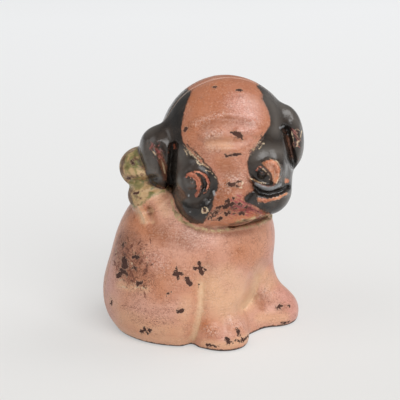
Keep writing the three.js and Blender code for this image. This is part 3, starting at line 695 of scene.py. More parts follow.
# Washes of thin colour over the flesh, some of them painted shade or highlight, as (path, half width in mm,
# strength).
FRONT_WASHES = {
    # pink: a pinker tone of the paint, which on the brow's right and the bump of the flank is a painted sheen
    "pink": (
        (((108, 256), (106, 290), (112, 318)), 7, 0.9), (((176, 236), (190, 240), (204, 246)), 9, 0.25),
        (((152, 262), (160, 262)), 9, 0.7), (((276, 222), (276, 245), (270, 262)), 8, 0.9),
        (((284, 290), (297, 306), (290, 318)), 8, 0.9), (((238, 104), (250, 116), (246, 126)), 10, 0.8),
        (((215, 172), (236, 178)), 8, 0.3), (((200, 335), (222, 338)), 5, 0.5),
        (((116, 232), (112, 250)), 6, 0.7),
    ),
    "amber": (
        (((138, 226), (150, 232), (162, 236)), 9, 0.9), (((205, 252), (225, 262), (244, 258)), 11, 0.6),
        (((165, 270), (178, 290), (160, 292)), 10, 0.7), (((204, 326), (214, 335)), 6, 0.9),
        (((232, 328), (242, 330)), 5, 0.7), (((190, 100), (202, 112), (192, 130)), 10, 0.7),
        (((225, 146), (240, 146)), 8, 0.6), (((214, 223), (240, 218), (262, 214)), 5, 0.6),
        (((220, 82), (205, 92)), 8, 0.5), (((258, 298), (264, 306)), 6, 0.6),
        (((160, 226), (184, 236)), 9, 0.6), (((222, 164), (232, 174), (226, 190)), 9, 0.7),
    ),
    "cream_wash": (
        (((212, 288), (222, 304), (240, 298)), 14, 1.0), (((226, 276), (240, 286)), 10, 0.7),
        (((122, 318), (150, 329), (178, 332)), 8, 0.7), (((262, 272), (268, 284)), 7, 0.7),
        (((188, 300), (184, 318)), 7, 0.6), (((160, 202), (166, 212)), 5, 0.7),
        (((212, 144), (226, 144)), 6, 0.6), (((204, 344), (230, 346), (248, 338)), 4, 0.9),
        (((260, 318), (284, 318)), 5, 0.7), (((112, 326), (136, 338), (186, 342)), 6, 0.8),
        (((112, 300), (120, 316)), 6, 0.5), (((120, 285), (132, 288), (146, 289)), 3.5, 0.8),
    ),
    # umber: a browner tone of the paint, and painted shade under the chin, in the brow's hollows and beside the
    # far leg's crease
    "umber_and_shade": (
        (((206, 232), (225, 233), (250, 230)), 4, 0.8), (((122, 240), (122, 256), (128, 270)), 8, 1.0),
        (((150, 210), (151, 218)), 3.5, 0.7), (((128, 234), (138, 243)), 6, 0.7),
        (((256, 296), (262, 305)), 5, 0.7), (((270, 300), (282, 308)), 6, 0.5),
        (((206, 126), (226, 120), (250, 124)), 4, 0.6), (((204, 140), (240, 140.5)), 3.5, 0.4),
        (((216, 198), (226, 192), (238, 190)), 6, 0.5), (((196, 330), (192, 342)), 3, 0.4),
        (((226, 166), (232, 180)), 8, 0.75), (((160, 232), (176, 238), (192, 240)), 10, 0.85),
        (((136, 262), (144, 276)), 7, 0.5),
    ),
    # rubbed places: worn film, and a painted highlight, whitish pink on the raised shoulder, flank, paws and
    # brow
    "rubbed_and_highlight": (
        (((172, 234), (186, 238), (202, 240)), 9, 0.4), (((152, 260), (160, 264)), 8, 0.8),
        (((209, 330), (215, 331)), 4, 1.0), (((233, 321), (240, 325)), 5, 0.8),
        (((240, 103), (248, 112), (252, 122)), 8, 0.6), (((207, 135), (220, 132.5)), 3.5, 1.0),
        (((240, 131), (252, 131)), 3, 0.8), (((196, 124), (212, 117), (222, 113.5)), 3.5, 0.8),
        (((208, 149), (219, 150)), 3, 0.6), (((264, 292), (272, 296)), 5, 0.8),
        (((214, 190), (217, 197)), 3, 0.7), (((236, 108), (230, 100)), 6, 0.5),
        (((224, 190), (228, 180), (242, 178)), 5, 0.8),
    ),
}
# Guessed strokes on the back, laid out on the plane behind.
BACK_STROKES = {
    "fine": (
        # coins have scraped beside their slot, and a driver beside the screw
        ((160, 131), (163, 124), 0), ((176, 131), (180, 121), 0.1), ((205, 131), (209, 126), 0),
        ((193, 145), (190, 152), 0.1), ((168, 145), (166, 150), 0), ((148, 140), (142, 144), 0.1),
        ((206, 250), (215, 240), 0.1), ((193, 264), (185, 274), 0), ((208, 262), (212, 268), 0),
        ((170, 240), (186, 250), (191, 261), 0), ((250, 270), (262, 290), 0), ((136, 262), (150, 270), 0),
        ((229, 300), (240, 312), 0),
    ),
    "chip": (
        ((160, 118), (164, 116), 0.9), ((163, 119), (165, 122), 0.6), ((208, 122), (211, 121), 0.6),
        ((226, 150), (228, 154), 0.8), ((139, 146), (140, 150), 0.6), ((172, 172), (177, 173.5), 1.0),
        ((178, 171), (180, 175), 0.6), ((191, 92), (194, 92), 0.6), ((150, 232), (154, 230), 1.0),
        ((154, 231), (156, 236), 0.8), ((236, 246), (242, 244), 1.2), ((240, 247), (242, 252), 0.9),
        ((247, 250), (249, 254), 0.7), ((262, 276), (266, 275), 0.7), ((215, 292), (219, 290), 0.9),
        ((172, 300), (176, 303), 1.1), ((168, 304), (171, 306), 0.6), ((132, 286), (134, 290), 0.8),
        ((195, 318), (203, 319), 0.7), ((240, 322), (246, 321), 0.8), ((281, 296), (282, 303), 0.6),
        ((118, 312), (120, 316), 0.6), ((225, 210), (229, 209), 0.7), ((251, 168), (254, 171), 0.8),
        ((262, 190), (265, 188), 0.6), ((205, 253.5), (207, 252), 0.8), ((192, 260), (193.5, 262.5), 0.9),
    ),
    "specks": (((150, 262), (170, 284), 0), ((226, 262), (250, 280), 0), ((150, 165), (205, 168), 0)),
}
# Nicks strewn over the back between two corners, most of them tiny.
NICKS = 80
nick_middles = strewn.uniform((116, 92), (290, 326), (NICKS, 2))
nick_reach = strewn.uniform(-1.8, 1.8, (NICKS, 2))
BACK_STROKES["chip"] += tuple(
    (tuple(middle - reach), tuple(middle + reach), width)
    for middle, reach, width in zip(nick_middles, nick_reach, 0.7 * strewn.uniform(0, 1, NICKS) ** 3)
)
BACK_WASHES = {
    "pink": (
        (((130, 300), (120, 270), (135, 240)), 12, 0.7), (((266, 246), (280, 280)), 12, 0.8),
        (((160, 110), (200, 100)), 10, 0.6), (((150, 175), (190, 186)), 9, 0.6),
    ),
    "amber": (
        (((180, 225), (230, 232)), 12, 0.8), (((205, 298), (250, 304)), 12, 0.6),
        (((136, 140), (146, 168)), 9, 0.6), (((215, 165), (225, 140)), 8, 0.6),
        (((160, 214), (140, 222)), 7, 0.5),
    ),
    "cream_wash": (
        (((120, 322), (180, 326), (270, 320)), 9, 0.9), (((155, 280), (182, 300)), 11, 0.7),
        (((190, 204), (240, 198)), 5, 0.7), (((230, 272), (252, 262)), 9, 0.5),
    ),
    # umber on the back: browner about the screw and the coin slot, and darker along the neck
    "umber_and_shade": (
        (((130, 206), (190, 199), (235, 186)), 4, 0.8), (((200, 257),), 8, 0.7),
        (((150, 138), (214, 138)), 5, 0.5), (((242, 214), (266, 208)), 7, 0.6),
        (((186, 132), (180, 160)), 7, 0.35),
    ),
    # rubbed places on the back: worn film, and a painted highlight in whitish pink
    "rubbed_and_highlight": (
        (((175, 95), (200, 92)), 9, 1.0), (((240, 230), (266, 258)), 9, 0.9),
        (((150, 250), (165, 275)), 9, 0.8), (((180, 175), (204, 170)), 7, 0.7),
        (((190, 305), (215, 308)), 8, 0.6),
    ),
}
# Distance, in mm, of a zone that a point has no part in.
NO_ZONE = 30.0
# A pale ring worn on the near cheek: its place on the picture plane, radius and half width in mm.
RING_PLACE, RING_RADIUS, RING_HALF = (204.6, 210), 1.3, 0.36
# The black behind: outside two lines on the head and inside a lobe behind each ear, melted together. The lobe
# is (half depth, middle height, half height), and its ragged edge (height, size).
BLACK_SIDES, BLACK_LOBE, BLACK_RAGGED, BLACK_MELT = (-12.3, 20.2), (18, 9, 29), (3.2, 11), 7
# The green of the ribbon: how far out it goes, and where it ends in front, on the far side and the near.
RIBBON_PAINT_REACH, RIBBON_PAINT_ENDS = 36, (-7, 1)


def paint_layout(points, normals, bend, front):
    """Signed distances, in millimetres, to the edges of each paint and wear zone at the points of a skin, and
    the strength of each wash. What turns away from the plane it is laid out on is put out of reach."""
    x, y, z = ((points - STANDING) / FIGURE_SCALE).T
    if front:
        across, down = picture_place(x, y, z)
        facing = normals @ SIGHT_BACK
        strokes, washes = FRONT_STROKES, FRONT_WASHES
    else:
        across, down = back_place(x, z)
        facing = normals[:, 1]
        strokes, washes = BACK_STROKES, BACK_WASHES
    # how far out of reach, in mm, paint is put where the skin faces away, and wear where it turns aside
    hidden = np.clip(0.1 - facing, 0, 1) * 60
    averted = np.clip(0.4 - facing, 0, 1) * 20
    body, head, ear, far_ear, bow = figure_parts(x, y, z)
    ears, others = np.minimum(ear, far_ear), np.minimum(body, bow)
    layout = {zone: np.full(len(x), NO_ZONE) for zone in FRONT_STROKES}
    for zone, lines in strokes.items():
        nearest = [stroke_distance(across, down, line[:-1]) - line[-1] for line in lines]
        layout[zone] = np.min(nearest, 0) + hidden
    if front:
        black = np.minimum(zone_distance(across, down, BLACK_NEAR), zone_distance(across, down, BLACK_FAR))
    else:
        right, _, up = head_place(x, y, z)
        deep, middle, tall = BLACK_LOBE
        ragged = BLACK_RAGGED[0] * sand_ripple(x, y, z, BLACK_RAGGED[1]) * np.clip(y / 10, 0, 1)
        lobe = deep * np.hypot(y / deep, (up - middle) / tall) - deep + ragged
        black = -melted(-np.minimum(right - BLACK_SIDES[0], BLACK_SIDES[1] - right), -lobe, BLACK_MELT)
    black = np.maximum(black, np.minimum(head, ears) - others)
    black = np.minimum(black, np.maximum(ears - head, ears - others))
    green = np.maximum(bow - np.minimum(np.minimum(head, ears), body), -3.0)
    red = worn = np.full(len(x), NO_ZONE)
    if front:
        green = np.maximum(green, zone_distance(across, down, BOW_GREEN))
        red = zone_distance(across, down, RED_MOUTH) + hidden
        layout["orange"] = np.minimum(layout["orange"], zone_distance(across, down, FAR_LID) + hidden)
        ring = np.abs(stroke_distance(across, down, (RING_PLACE,)) - RING_RADIUS) - RING_HALF
        layout["fine"] = np.minimum(layout["fine"], ring + hidden)
    else:
        wide, tall = (np.abs(axis * FIGURE_SCALE - at) - reach for axis, at, reach in zip((x, z), *COIN_SLOT))
        from_axis = np.hypot(x * FIGURE_SCALE - SCREW_AXIS[0], z * FIGURE_SCALE - SCREW_AXIS[1])
        seat = np.abs(from_axis - SEAT_DIAMETER / 2)
        worn = np.minimum(np.abs(np.maximum(wide, tall)), seat) + hidden
        layout["chip"] = np.maximum(layout["chip"], 0.8 - black) + averted
    for zone in ("ear_wear", "ear_brown", "scratch"):
        layout[zone] += averted
    past_neck = np.maximum(neck_radius(x, y) - RIBBON_PAINT_REACH, 0)
    past_end = y < np.where(x > FAR_SIDE, *RIBBON_PAINT_ENDS)
    # some zones stay inside the black or the green, the painted shade and painted sheen inside the black, edges
    # wear where the skin bends, stray chips lie aside
    layout.update({
        "black": black,
        "green": green,
        "red": red,
        "worn": worn,
        "painted_shade": np.maximum(layout["painted_shade"], black + 0.5),
        "painted_sheen": np.maximum(layout["painted_sheen"], black + 0.5),
        "ear_brown": np.maximum(layout["ear_brown"], black + 0.3),
        "bow_brown": np.maximum(layout["bow_brown"], 3 * green),
        "stray": 40 * np.clip(facing / 0.4, 0, 1),
        "ribbon": np.abs(ribbon_height(x, y, z)) + past_neck * 3 + 5 * past_end,
        "seam": np.abs(y),
        "foot": z,
        "bow_edge": np.maximum(green + 0.6, 0) * 6 + 1.2 - np.abs(bend) * 1.6,
        "bow_tan": np.maximum(green + 1.0, 0) * 6 + 0.08 * (z - BOW_MIDDLE[2]) + (0.6 if front else 2.2),
        "brow": np.clip((body - head) / 6 + 0.5, 0, 1),
        "edge_wear": 2.0 - bend + np.maximum(black + 0.4, 0) * 5 + averted,
        "bend": bend,
    })
    for wash, lines in washes.items():
        layout[wash] = np.zeros(len(x))
        for path, width, strength in lines:
            share = np.clip(1 - (stroke_distance(across, down, path) / width) ** 2, 0, 1)
            layout[wash] = np.maximum(layout[wash], strength * share * share * (hidden < 1))
    return layout, np.stack([across / SIGHT_UNITS, down / SIGHT_UNITS, 0 * x], 1)


def new_object(data):
    """An object in the scene, at the origin, with a mesh, a lamp or a lens and its name."""
    made = bpy.data.objects.new(data.name, data)
    bpy.context.scene.collection.objects.link(made)
    return made


def smooth_object(name, points, triangles):
    """A mesh object with smooth faces, from points in millimetres."""
    mesh = bpy.data.meshes.new(name)
    mesh.from_pydata(points / 1000, [], triangles)
    mesh.update()
    mesh.polygons.foreach_set("use_smooth", np.ones(len(triangles), bool))
    return new_object(mesh)


# Cells that the lattice goes past a half's box. Skin deeper than this under the figure's, in mm, is bare.
MARGIN, BARE_DEPTH = 2.5, 1.6
# Points this near the seam or the ground, or to the screw's seat, as (radius, depth), are never gathered.
FINE_RIM, FINE_FOOT, FINE_SEAT = 0.8, 1, (6.5, 1.5)


def half_casting(name, front):
    """One half as a mesh object: the field on a lattice over its box, its skin, and its paint layout. Normals
    are the field's differences over two cells, and the bend is the sum of its second differences."""
    lowest, highest = (np.array(corner) * 1000 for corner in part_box(name))
    low = (lowest - MARGIN * NET_PITCH).astype(np.float32)
    counts = np.ceil((highest - lowest) / NET_PITCH).astype(int) + int(2 * MARGIN) + 1
    axes = [low[a] + NET_PITCH * np.arange(counts[a], dtype=np.float32) for a in range(3)]
    x, y, z = np.meshgrid(*(axis - STANDING[a] for a, axis in enumerate(axes)), indexing="ij")
    field, figure = casting_field(x, y, z, front)
    points, quads = level_skin(field, low)
    cell = np.clip(((points - low) / NET_PITCH).astype(int), 1, np.array(field.shape) - 2)
    steps = np.eye(3, dtype=int)
    normals = np.stack([field[tuple((cell + step).T)] - field[tuple((cell - step).T)] for step in steps], 1)
    normals /= np.maximum(np.linalg.norm(normals, axis=1, keepdims=True), 1e-6)
    middle = np.clip(cell, 3, np.array(field.shape) - 4)
    bend = sum(field[tuple((middle + step).T)] + field[tuple((middle - step).T)] for step in 2 * steps)
    bend = (bend - 6 * field[tuple(middle.T)]) / (2 * NET_PITCH) ** 2
    deep = figure[tuple(cell.T)] < -BARE_DEPTH
    behind = points[:, 1] - STANDING[1]
    from_axis = np.hypot(points[:, 0] - STANDING[0] - SCREW_AXIS[0], points[:, 2] - SCREW_AXIS[1])
    seat = (from_axis < FINE_SEAT[0]) & (behind > SEAT_Y - FINE_SEAT[1])
    rims = (np.abs(behind) < FINE_RIM) | (points[:, 2] < FINE_FOOT) | seat
    points, triangles, source = coarser_inside(points, quads, deep & ~rims)
    made = smooth_object(name + "_casting", points, triangles)
    fine = source >= 0
    painted = fine & ~deep[source]
    layout, picture = paint_layout(points, normals[source] * fine[:, None], bend[source] * fine, front)
    picture = picture.astype(np.float32).ravel()
    made.data.attributes.new("picture", "FLOAT_VECTOR", "POINT").data.foreach_set("vector", picture)
    for zone, values in layout.items():
        made.data.attributes.new(zone, "FLOAT", "POINT").data.foreach_set("value", values.astype(np.float32))
    bare = ~painted[triangles].all(1)
    made.data.polygons.foreach_set("material_index", bare.astype(np.int32))
    return made


def linear(colour):
    """An sRGB hex colour as linear red, green, blue and alpha."""
    parts = [int(colour[i:i + 2], 16) / 255 for i in (1, 3, 5)]
    return [p / 12.92 if p <= 0.04045 else ((p + 0.055) / 1.055) ** 2.4 for p in parts] + [1.0]


def put(tree, kind, links, out=0, **settings):
    """Adds a node and gives one of its outputs: links are its sockets by name or number, each a value or
    another node's output, and settings are its own fields."""
    node = tree.nodes.new("ShaderNode" + kind)
    for field, value in settings.items():
        setattr(node, field, value)
    for socket, value in links.items():
        if isinstance(value, bpy.types.NodeSocket):
            tree.links.new(value, node.inputs[socket])
        else:
            node.inputs[socket].default_value = value
    return node.outputs[out] if len(node.outputs) else None


def new_material(name):
    """A material of that name, and its node tree with nothing in it."""
    material = bpy.data.materials.new(name)
    material.use_nodes = True
    material.node_tree.nodes.clear()
    return material, material.node_tree


# Enamel brushed over cast iron: flesh all over, then black, green and red, glossy where it is whole, with
# thin washes of tone, crazing, scratches, ragged chips down to brown iron, cream dirt in creases, painted
# shade in deep hollows and over the black, and painted sheen and highlights on the black and raised flesh.
enamel, tree = new_material("enamel_over_cast_iron")
where = put(tree, "TexCoord", {}, "Object")
picture = put(tree, "Attribute", {}, "Vector", attribute_name="picture")
# grain of the film, 0.8 mm; torn edges of chips, 1.8 mm; mottling, 6 mm; broad tone, 28 mm
grain = put(tree, "TexNoise", {"Vector": where, "Scale": 1000 / 0.8, "Detail": 3.0, "Roughness": 0.6})
torn = put(tree, "TexNoise", {"Vector": where, "Scale": 1000 / 1.8, "Detail": 5.0, "Roughness": 0.75})
mottle = put(tree, "TexNoise", {"Vector": where, "Scale": 1000 / 6, "Detail": 5.0, "Roughness": 0.65})
broad = put(tree, "TexNoise", {"Vector": where, "Scale": 1000 / 28, "Detail": 2.0, "Roughness": 0.5})
# blots of 3.4 mm where the enamel has come off the flank and the bow
blot = put(tree, "TexNoise", {"Vector": where, "Scale": 1000 / 3.4, "Detail": 2.0, "Distortion": 0.8})
# brush streaks 0.6 mm apart and 5 mm long, laid across the figure
brushed = put(tree, "Mapping", {"Vector": where, "Scale": (1 / 5, 1 / 3, 1 / 0.6)})
streak = put(tree, "TexNoise", {"Vector": brushed, "Scale": 1000.0, "Detail": 2.0, "Distortion": 0.6})
# crazing: a net of cracks about 1.6 mm across; hair lines about 2.2 and 2.6 mm apart where a noise is midway
crooked = torn.node.outputs["Color"]
warp = put(tree, "VectorMath", {0: crooked, 1: (0.0016,) * 3, 2: where}, operation="MULTIPLY_ADD")
craze = put(tree, "TexVoronoi", {"Vector": warp, "Scale": 1000 / 1.6}, feature="DISTANCE_TO_EDGE")
hairlines = []
for apart, crook in ((2.2, 0.8), (2.6, 1.5)):
    line = put(tree, "TexNoise", {"Vector": where, "Scale": 1000 / apart, "Detail": 1.0, "Distortion": crook})
    line = put(tree, "Math", {0: line, 1: 0.5}, operation="SUBTRACT")
    hairlines.append(put(tree, "Math", {0: line}, operation="ABSOLUTE"))
wriggle, scrawl = hairlines
# scratches 0.45 mm wide and 5 mm long both ways across the picture plane, and slanting strokes on the lip
scored = []
for turn, width, length in ((-47, 0.45, 5.0), (52, 0.45, 5.0), (-24, 0.7, 3.5)):
    lie = put(tree, "Mapping", {"Vector": picture, "Rotation": (0, 0, np.radians(turn))})
    lie = put(tree, "Mapping", {"Vector": lie, "Scale": (1 / length, 1 / width, 1)})
    scored.append(put(tree, "TexNoise", {"Vector": lie, "Scale": 1.0, "Detail": 2.0, "Distortion": 0.3}))
falling, rising, slash = scored
scored = put(tree, "Math", {0: falling, 1: rising}, operation="MINIMUM")
hatch = put(tree, "Math", {0: 1.0, 1: falling}, operation="SUBTRACT")
# crooked dashes of dirt in the brush marks of the body, 0.6 mm wide and 1.5 mm long
lie = put(
    tree, "Mapping", {"Vector": picture, "Rotation": (0, 0, np.radians(8)), "Scale": (1 / 1.5, 1 / 0.6, 1)},
)
dashes = put(tree, "TexNoise", {"Vector": lie, "Scale": 1.0, "Detail": 2.0, "Distortion": 2.2})

warm = put(tree, "MapRange", {"Value": broad, "From Min": 0.4, "From Max": 0.6})
film = put(tree, "MapRange", {"Value": mottle, "From Min": 0.36, "From Max": 0.64})
brow = put(tree, "Attribute", {}, "Fac", attribute_name="brow")
bend = put(tree, "Attribute", {}, "Fac", attribute_name="bend")
body_flesh = put(tree, "Mix", {0: warm, 6: linear("#CC8E6E"), 7: linear("#D09A84")}, 2, data_type="RGBA")
head_flesh = put(tree, "Mix", {0: warm, 6: linear("#B16E4E"), 7: linear("#B87C62")}, 2, data_type="RGBA")
colour = put(tree, "Mix", {0: brow, 6: body_flesh, 7: head_flesh}, 2, data_type="RGBA")
# washes: their own strength, pushed about by the broad noise, by that much, and the middling one; most cover
for wash, swing, most, tint in (
    ("pink", 1.1, 0.65, "#CC8F84"),
    ("amber", -1.1, 0.75, "#B97044"),
    ("cream_wash", 0.6, 0.85, "#DDAD88"),
    # umber: brown tone and painted shade
    ("umber_and_shade", -0.4, 0.8, "#925A3C"),
):
    share = put(tree, "Attribute", {}, "Fac", attribute_name=wash)
    for noise, much in ((broad, swing), (mottle, 0.9)):
        push = put(tree, "Math", {0: noise, 1: 0.5}, operation="SUBTRACT")
        share = put(tree, "Math", {0: push, 1: much, 2: share}, operation="MULTIPLY_ADD")
    share = put(tree, "MapRange", {"Value": share, "From Min": 0.1, "From Max": 1.0, "To Max": most})
    colour = put(tree, "Mix", {0: share, 6: colour, 7: linear(tint)}, 2, data_type="RGBA")
# what holds the next layers back: rubbed places, which are partly painted highlight, the body as against the
# head, and the aged film
rubbed_and_highlight = put(tree, "Attribute", {}, "Fac", attribute_name="rubbed_and_highlight")
trunk = put(tree, "Math", {0: 1.0, 1: brow}, operation="SUBTRACT")
creamy = put(tree, "Attribute", {}, "Fac", attribute_name="cream_wash")
aged = put(tree, "Math", {0: creamy, 1: -0.9, 2: 1.0}, operation="MULTIPLY_ADD")
thin = put(tree, "MapRange", {"Value": film, "To Min": 0.25, "To Max": 1.0})
pitted = put(tree, "Math", {0: aged, 1: thin}, operation="MULTIPLY")
dirty = put(tree, "Math", {0: pitted, 1: trunk}, operation="MULTIPLY")
# brush streaks, whitish rubbed grain that is painted highlight speckle, cracks, pinholes, cream dirt in the
# body's hollows, darker brown in the brow's hollows, painted shade in every deep hollow: what shows, where it
# starts and is full, most cover, what holds it back, tint
for source, low, high, most, gate, tint in (
    (streak, 0.54, 0.72, 0.4, film, "#A0603E"),
    (streak, 0.46, 0.3, 0.25, warm, "#DDB298"),
    (grain, 0.52, 0.68, 0.45, film, "#E2BEAC"),
    # whitish grain in rubbed places: painted highlight speckle
    (grain, 0.46, 0.62, 0.38, rubbed_and_highlight, "#EBD0C3"),
    (wriggle, 0.045, 0.0, 0.6, pitted, "#8A5038"),
    (craze, 0.08, 0.02, 0.25, film, "#80503A"),
    (grain, 0.41, 0.31, 0.6, pitted, "#8C4E34"),
    (dashes, 0.4, 0.3, 0.75, dirty, "#854A30"),
    # whitish hair lines in rubbed places: painted highlight
    (scrawl, 0.03, 0.0, 0.5, rubbed_and_highlight, "#E8CBBC"),
    (wriggle, 0.05, 0.0, 0.5, rubbed_and_highlight, "#8A523C"),
    (bend, -0.2, -0.8, 0.6, trunk, "#D6B088"),
    (bend, -0.15, -0.6, 0.25, brow, "#8E5840"),
    # painted shade: dark brown where the skin is most hollow
    (bend, -0.8, -1.8, 0.8, None, "#5E402A"),
):
    share = put(tree, "MapRange", {"Value": source, "From Min": low, "From Max": high, "To Max": most})
    if gate:
        share = put(tree, "Math", {0: share, 1: gate}, operation="MULTIPLY")
    colour = put(tree, "Mix", {0: share, 6: colour, 7: linear(tint)}, 2, data_type="RGBA")
roughness = put(
    tree, "MapRange", {"Value": mottle, "From Min": 0.3, "From Max": 0.7, "To Min": 0.28, "To Max": 0.42}
)
roughness = put(tree, "Math", {0: rubbed_and_highlight, 1: -0.1, 2: roughness}, operation="MULTIPLY_ADD")
height = put(tree, "Math", {0: streak, 1: 0.2}, operation="MULTIPLY")
for noise, much in ((grain, 0.7), (mottle, 1.6)):
    height = put(tree, "Math", {0: noise, 1: much, 2: height}, operation="MULTIPLY_ADD")
# zone, what tears its edge, how far the edge lies out, how torn and how soft, in mm; most cover; two tones;
# roughness; rise of the film
for zone, tear, offset, ravel, soft, most, dark, light, rough, rise in (
    ("ribbon", torn, 1.3, 4.0, 0.4, 0.85, "#726838", "#A08C58", 0.45, 0.2),
    ("ribbon", blot, -0.2, 14.0, 0.8, 0.8, "#B08A5C", "#CFAE84", 0.45, 0.0),
    ("cream", torn, 0.9, 5.0, 2.0, 0.8, "#DFB890", "#EACDA8", 0.42, 0.0),
    ("shadow", torn, 0.6, 5.0, 0.8, 0.85, "#4E3020", "#74492F", 0.5, 0.0),
    ("strap", torn, 0.5, 7.0, 0.4, 0.95, "#7A643C", "#CCB286", 0.45, 0.1),
    ("strap", mottle, -1.4, 16.0, 0.5, 0.9, "#5A3C24", "#74502F", 0.5, -0.1),
    ("green", torn, 0.0, 5.0, 0.5, 1.0, "#62602F", "#9A8C5A", 0.42, 0.2),
    ("bow_tan", blot, 1.2, 22.0, 1.8, 0.8, "#B4885A", "#D2B088", 0.42, 0.0),
    ("bow_edge", torn, -0.5, 6.0, 0.5, 0.75, "#5A3A26", "#84583A", 0.5, -0.2),
    ("bow_brown", torn, 0.2, 5.0, 0.5, 0.9, "#4E3222", "#6E4A30", 0.5, -0.2),
    ("red", slash, -0.9, 24.0, 0.9, 0.9, "#822C38", "#A84C4E", 0.32, 0.0),
    ("muzzle", grain, -1.8, 30.0, 1.0, 0.85, "#6E3230", "#8A4A40", 0.4, -0.2),
    ("muzzle", torn, -0.8, 22.0, 0.5, 1.0, "#3A221B", "#52362C", 0.7, -0.5),
    ("specks", grain, -5.2, 40.0, 1.5, 0.85, "#6A3C2A", "#824E38", 0.5, -0.2),
    ("specks", dashes, -3.4, 40.0, 1.2, 0.85, "#7E4530", "#96583E", 0.5, -0.2),
    ("black", torn, 0.35, 2.4, 0.1, 1.0, "#5E3423", "#8A5638", 0.4, 0.2),
    ("black", torn, 0.0, 2.4, 0.1, 1.0, "#241E1A", "#3A312B", 0.15, 0.4),
    # painted sheen: lighter grey patches over the black paint
    ("painted_sheen", mottle, 0.0, 10.0, 2.2, 0.8, "#524C47", "#66605A", 0.22, 0.0),
    # painted shade: near-black patches over the black paint
    ("painted_shade", mottle, 0.2, 6.0, 1.8, 0.9, "#141110", "#1F1B18", 0.12, 0.0),
    ("ear_brown", torn, 0.0, 5.0, 0.5, 0.85, "#4A2C20", "#7E5038", 0.35, -0.2),
    ("edge_wear", torn, 0.0, 6.0, 0.3, 0.8, "#4E2C20", "#80492F", 0.4, -0.2),
    ("scratch", scored, -2.4, 24.0, 0.4, 1.0, "#2E2420", "#44342C", 0.3, 0.2),
    ("scratch", hatch, -2.4, 22.0, 0.4, 1.0, "#9A7050", "#E0CBAC", 0.4, -0.3),
    ("ear_wear", scored, -1.6, 22.0, 0.5, 1.0, "#7A3236", "#C27C70", 0.35, -0.3),
    ("russet", torn, 0.0, 3.5, 0.15, 1.0, "#8A4434", "#C27455", 0.32, 0.0),
    # pale grain on the eye's crescents: painted highlight
    ("russet", grain, -1.6, 12.0, 0.4, 0.7, "#D89078", "#E4B098", 0.32, 0.1),
    ("orange", torn, 0.2, 3.0, 0.1, 1.0, "#3A2420", "#C79A78", 0.35, 0.0),
    ("orange", torn, 0.0, 4.0, 0.15, 1.0, "#B0623F", "#D28C66", 0.32, -0.2),
    # pale grain on the far lid and the cheek fold: painted highlight
    ("orange", grain, -1.4, 14.0, 0.4, 0.55, "#DCA890", "#EAC8B4", 0.32, 0.1),
    ("dark_line", torn, 0.05, 2.2, 0.12, 0.95, "#3A2A24", "#5A3C2E", 0.4, -0.2),
    ("fine", torn, 0.1, 3.2, 0.12, 0.9, "#A8845F", "#E0CBAC", 0.4, 0.1),
    ("glint", torn, 0.0, 2.0, 0.3, 0.8, "#7C7C7E", "#B4B6B8", 0.2, 0.1),
    ("flank", mottle, 2.5, 34.0, 3.0, 0.6, "#8E5038", "#AE7354", 0.5, -0.2),
    ("flank", scrawl, -91.0, 200.0, 2.0, 0.85, "#5A3220", "#7A482E", 0.5, -0.4),
    ("scuffs", torn, 0.0, 2.6, 0.16, 0.9, "#522A1D", "#864A35", 0.65, -0.5),
    ("worn", torn, 1.0, 5.0, 0.3, 0.8, "#A4785A", "#CFAE92", 0.45, -0.2),
    ("worn", torn, 0.35, 4.0, 0.12, 1.0, "#3E2E28", "#5E463A", 0.6, -0.6),
    # pale band beside the seam: painted highlight along the rounded rims
    ("seam", grain, 0.7, 2.0, 0.25, 0.35, "#B49A8C", "#D8C6BA", 0.35, 0.0),
    ("seam", grain, 0.0, 0.8, 0.12, 0.7, "#4A3028", "#7A5240", 0.5, -0.8),
    ("foot", torn, 1.2, 3.0, 0.3, 1.0, "#2A1C19", "#4E342A", 0.7, -0.4),
    ("stray", mottle, -7.0, 40.0, 0.6, 1.0, "#3A2019", "#523024", 0.8, -0.8),
    ("chip", torn, 0.16, 6.0, 0.1, 0.7, "#CDA588", "#DDBCA0", 0.45, 0.0),
    ("chip", torn, 0.0, 6.0, 0.1, 1.0, "#3A2019", "#523024", 0.8, -0.9),
):
    reach = put(tree, "Attribute", {}, "Fac", attribute_name=zone)
    shift = put(tree, "Math", {0: tear, 1: 0.5}, operation="SUBTRACT")
    edge = put(tree, "Math", {0: shift, 1: ravel, 2: reach}, operation="MULTIPLY_ADD")
    outer, inner = offset + soft, offset - soft
    mask = put(tree, "MapRange", {"Value": edge, "From Min": outer, "From Max": inner, "To Max": most})
    tones = put(tree, "Mix", {0: film, 6: linear(dark), 7: linear(light)}, 2, data_type="RGBA")
    colour = put(tree, "Mix", {0: mask, 6: colour, 7: tones}, 2, data_type="RGBA")
    roughness = put(tree, "Mix", {0: mask, 2: roughness, 3: rough})
    height = put(tree, "Math", {0: mask, 1: rise, 2: height}, operation="MULTIPLY_ADD")
relief = put(tree, "Bump", {"Height": height, "Strength": 1.0, "Distance": 0.00013})
paint = put(
    tree, "BsdfPrincipled", {"Base Color": colour, "Roughness": roughness, "Normal": relief, "IOR": 1.5},
)
put(tree, "OutputMaterial", {"Surface": paint})

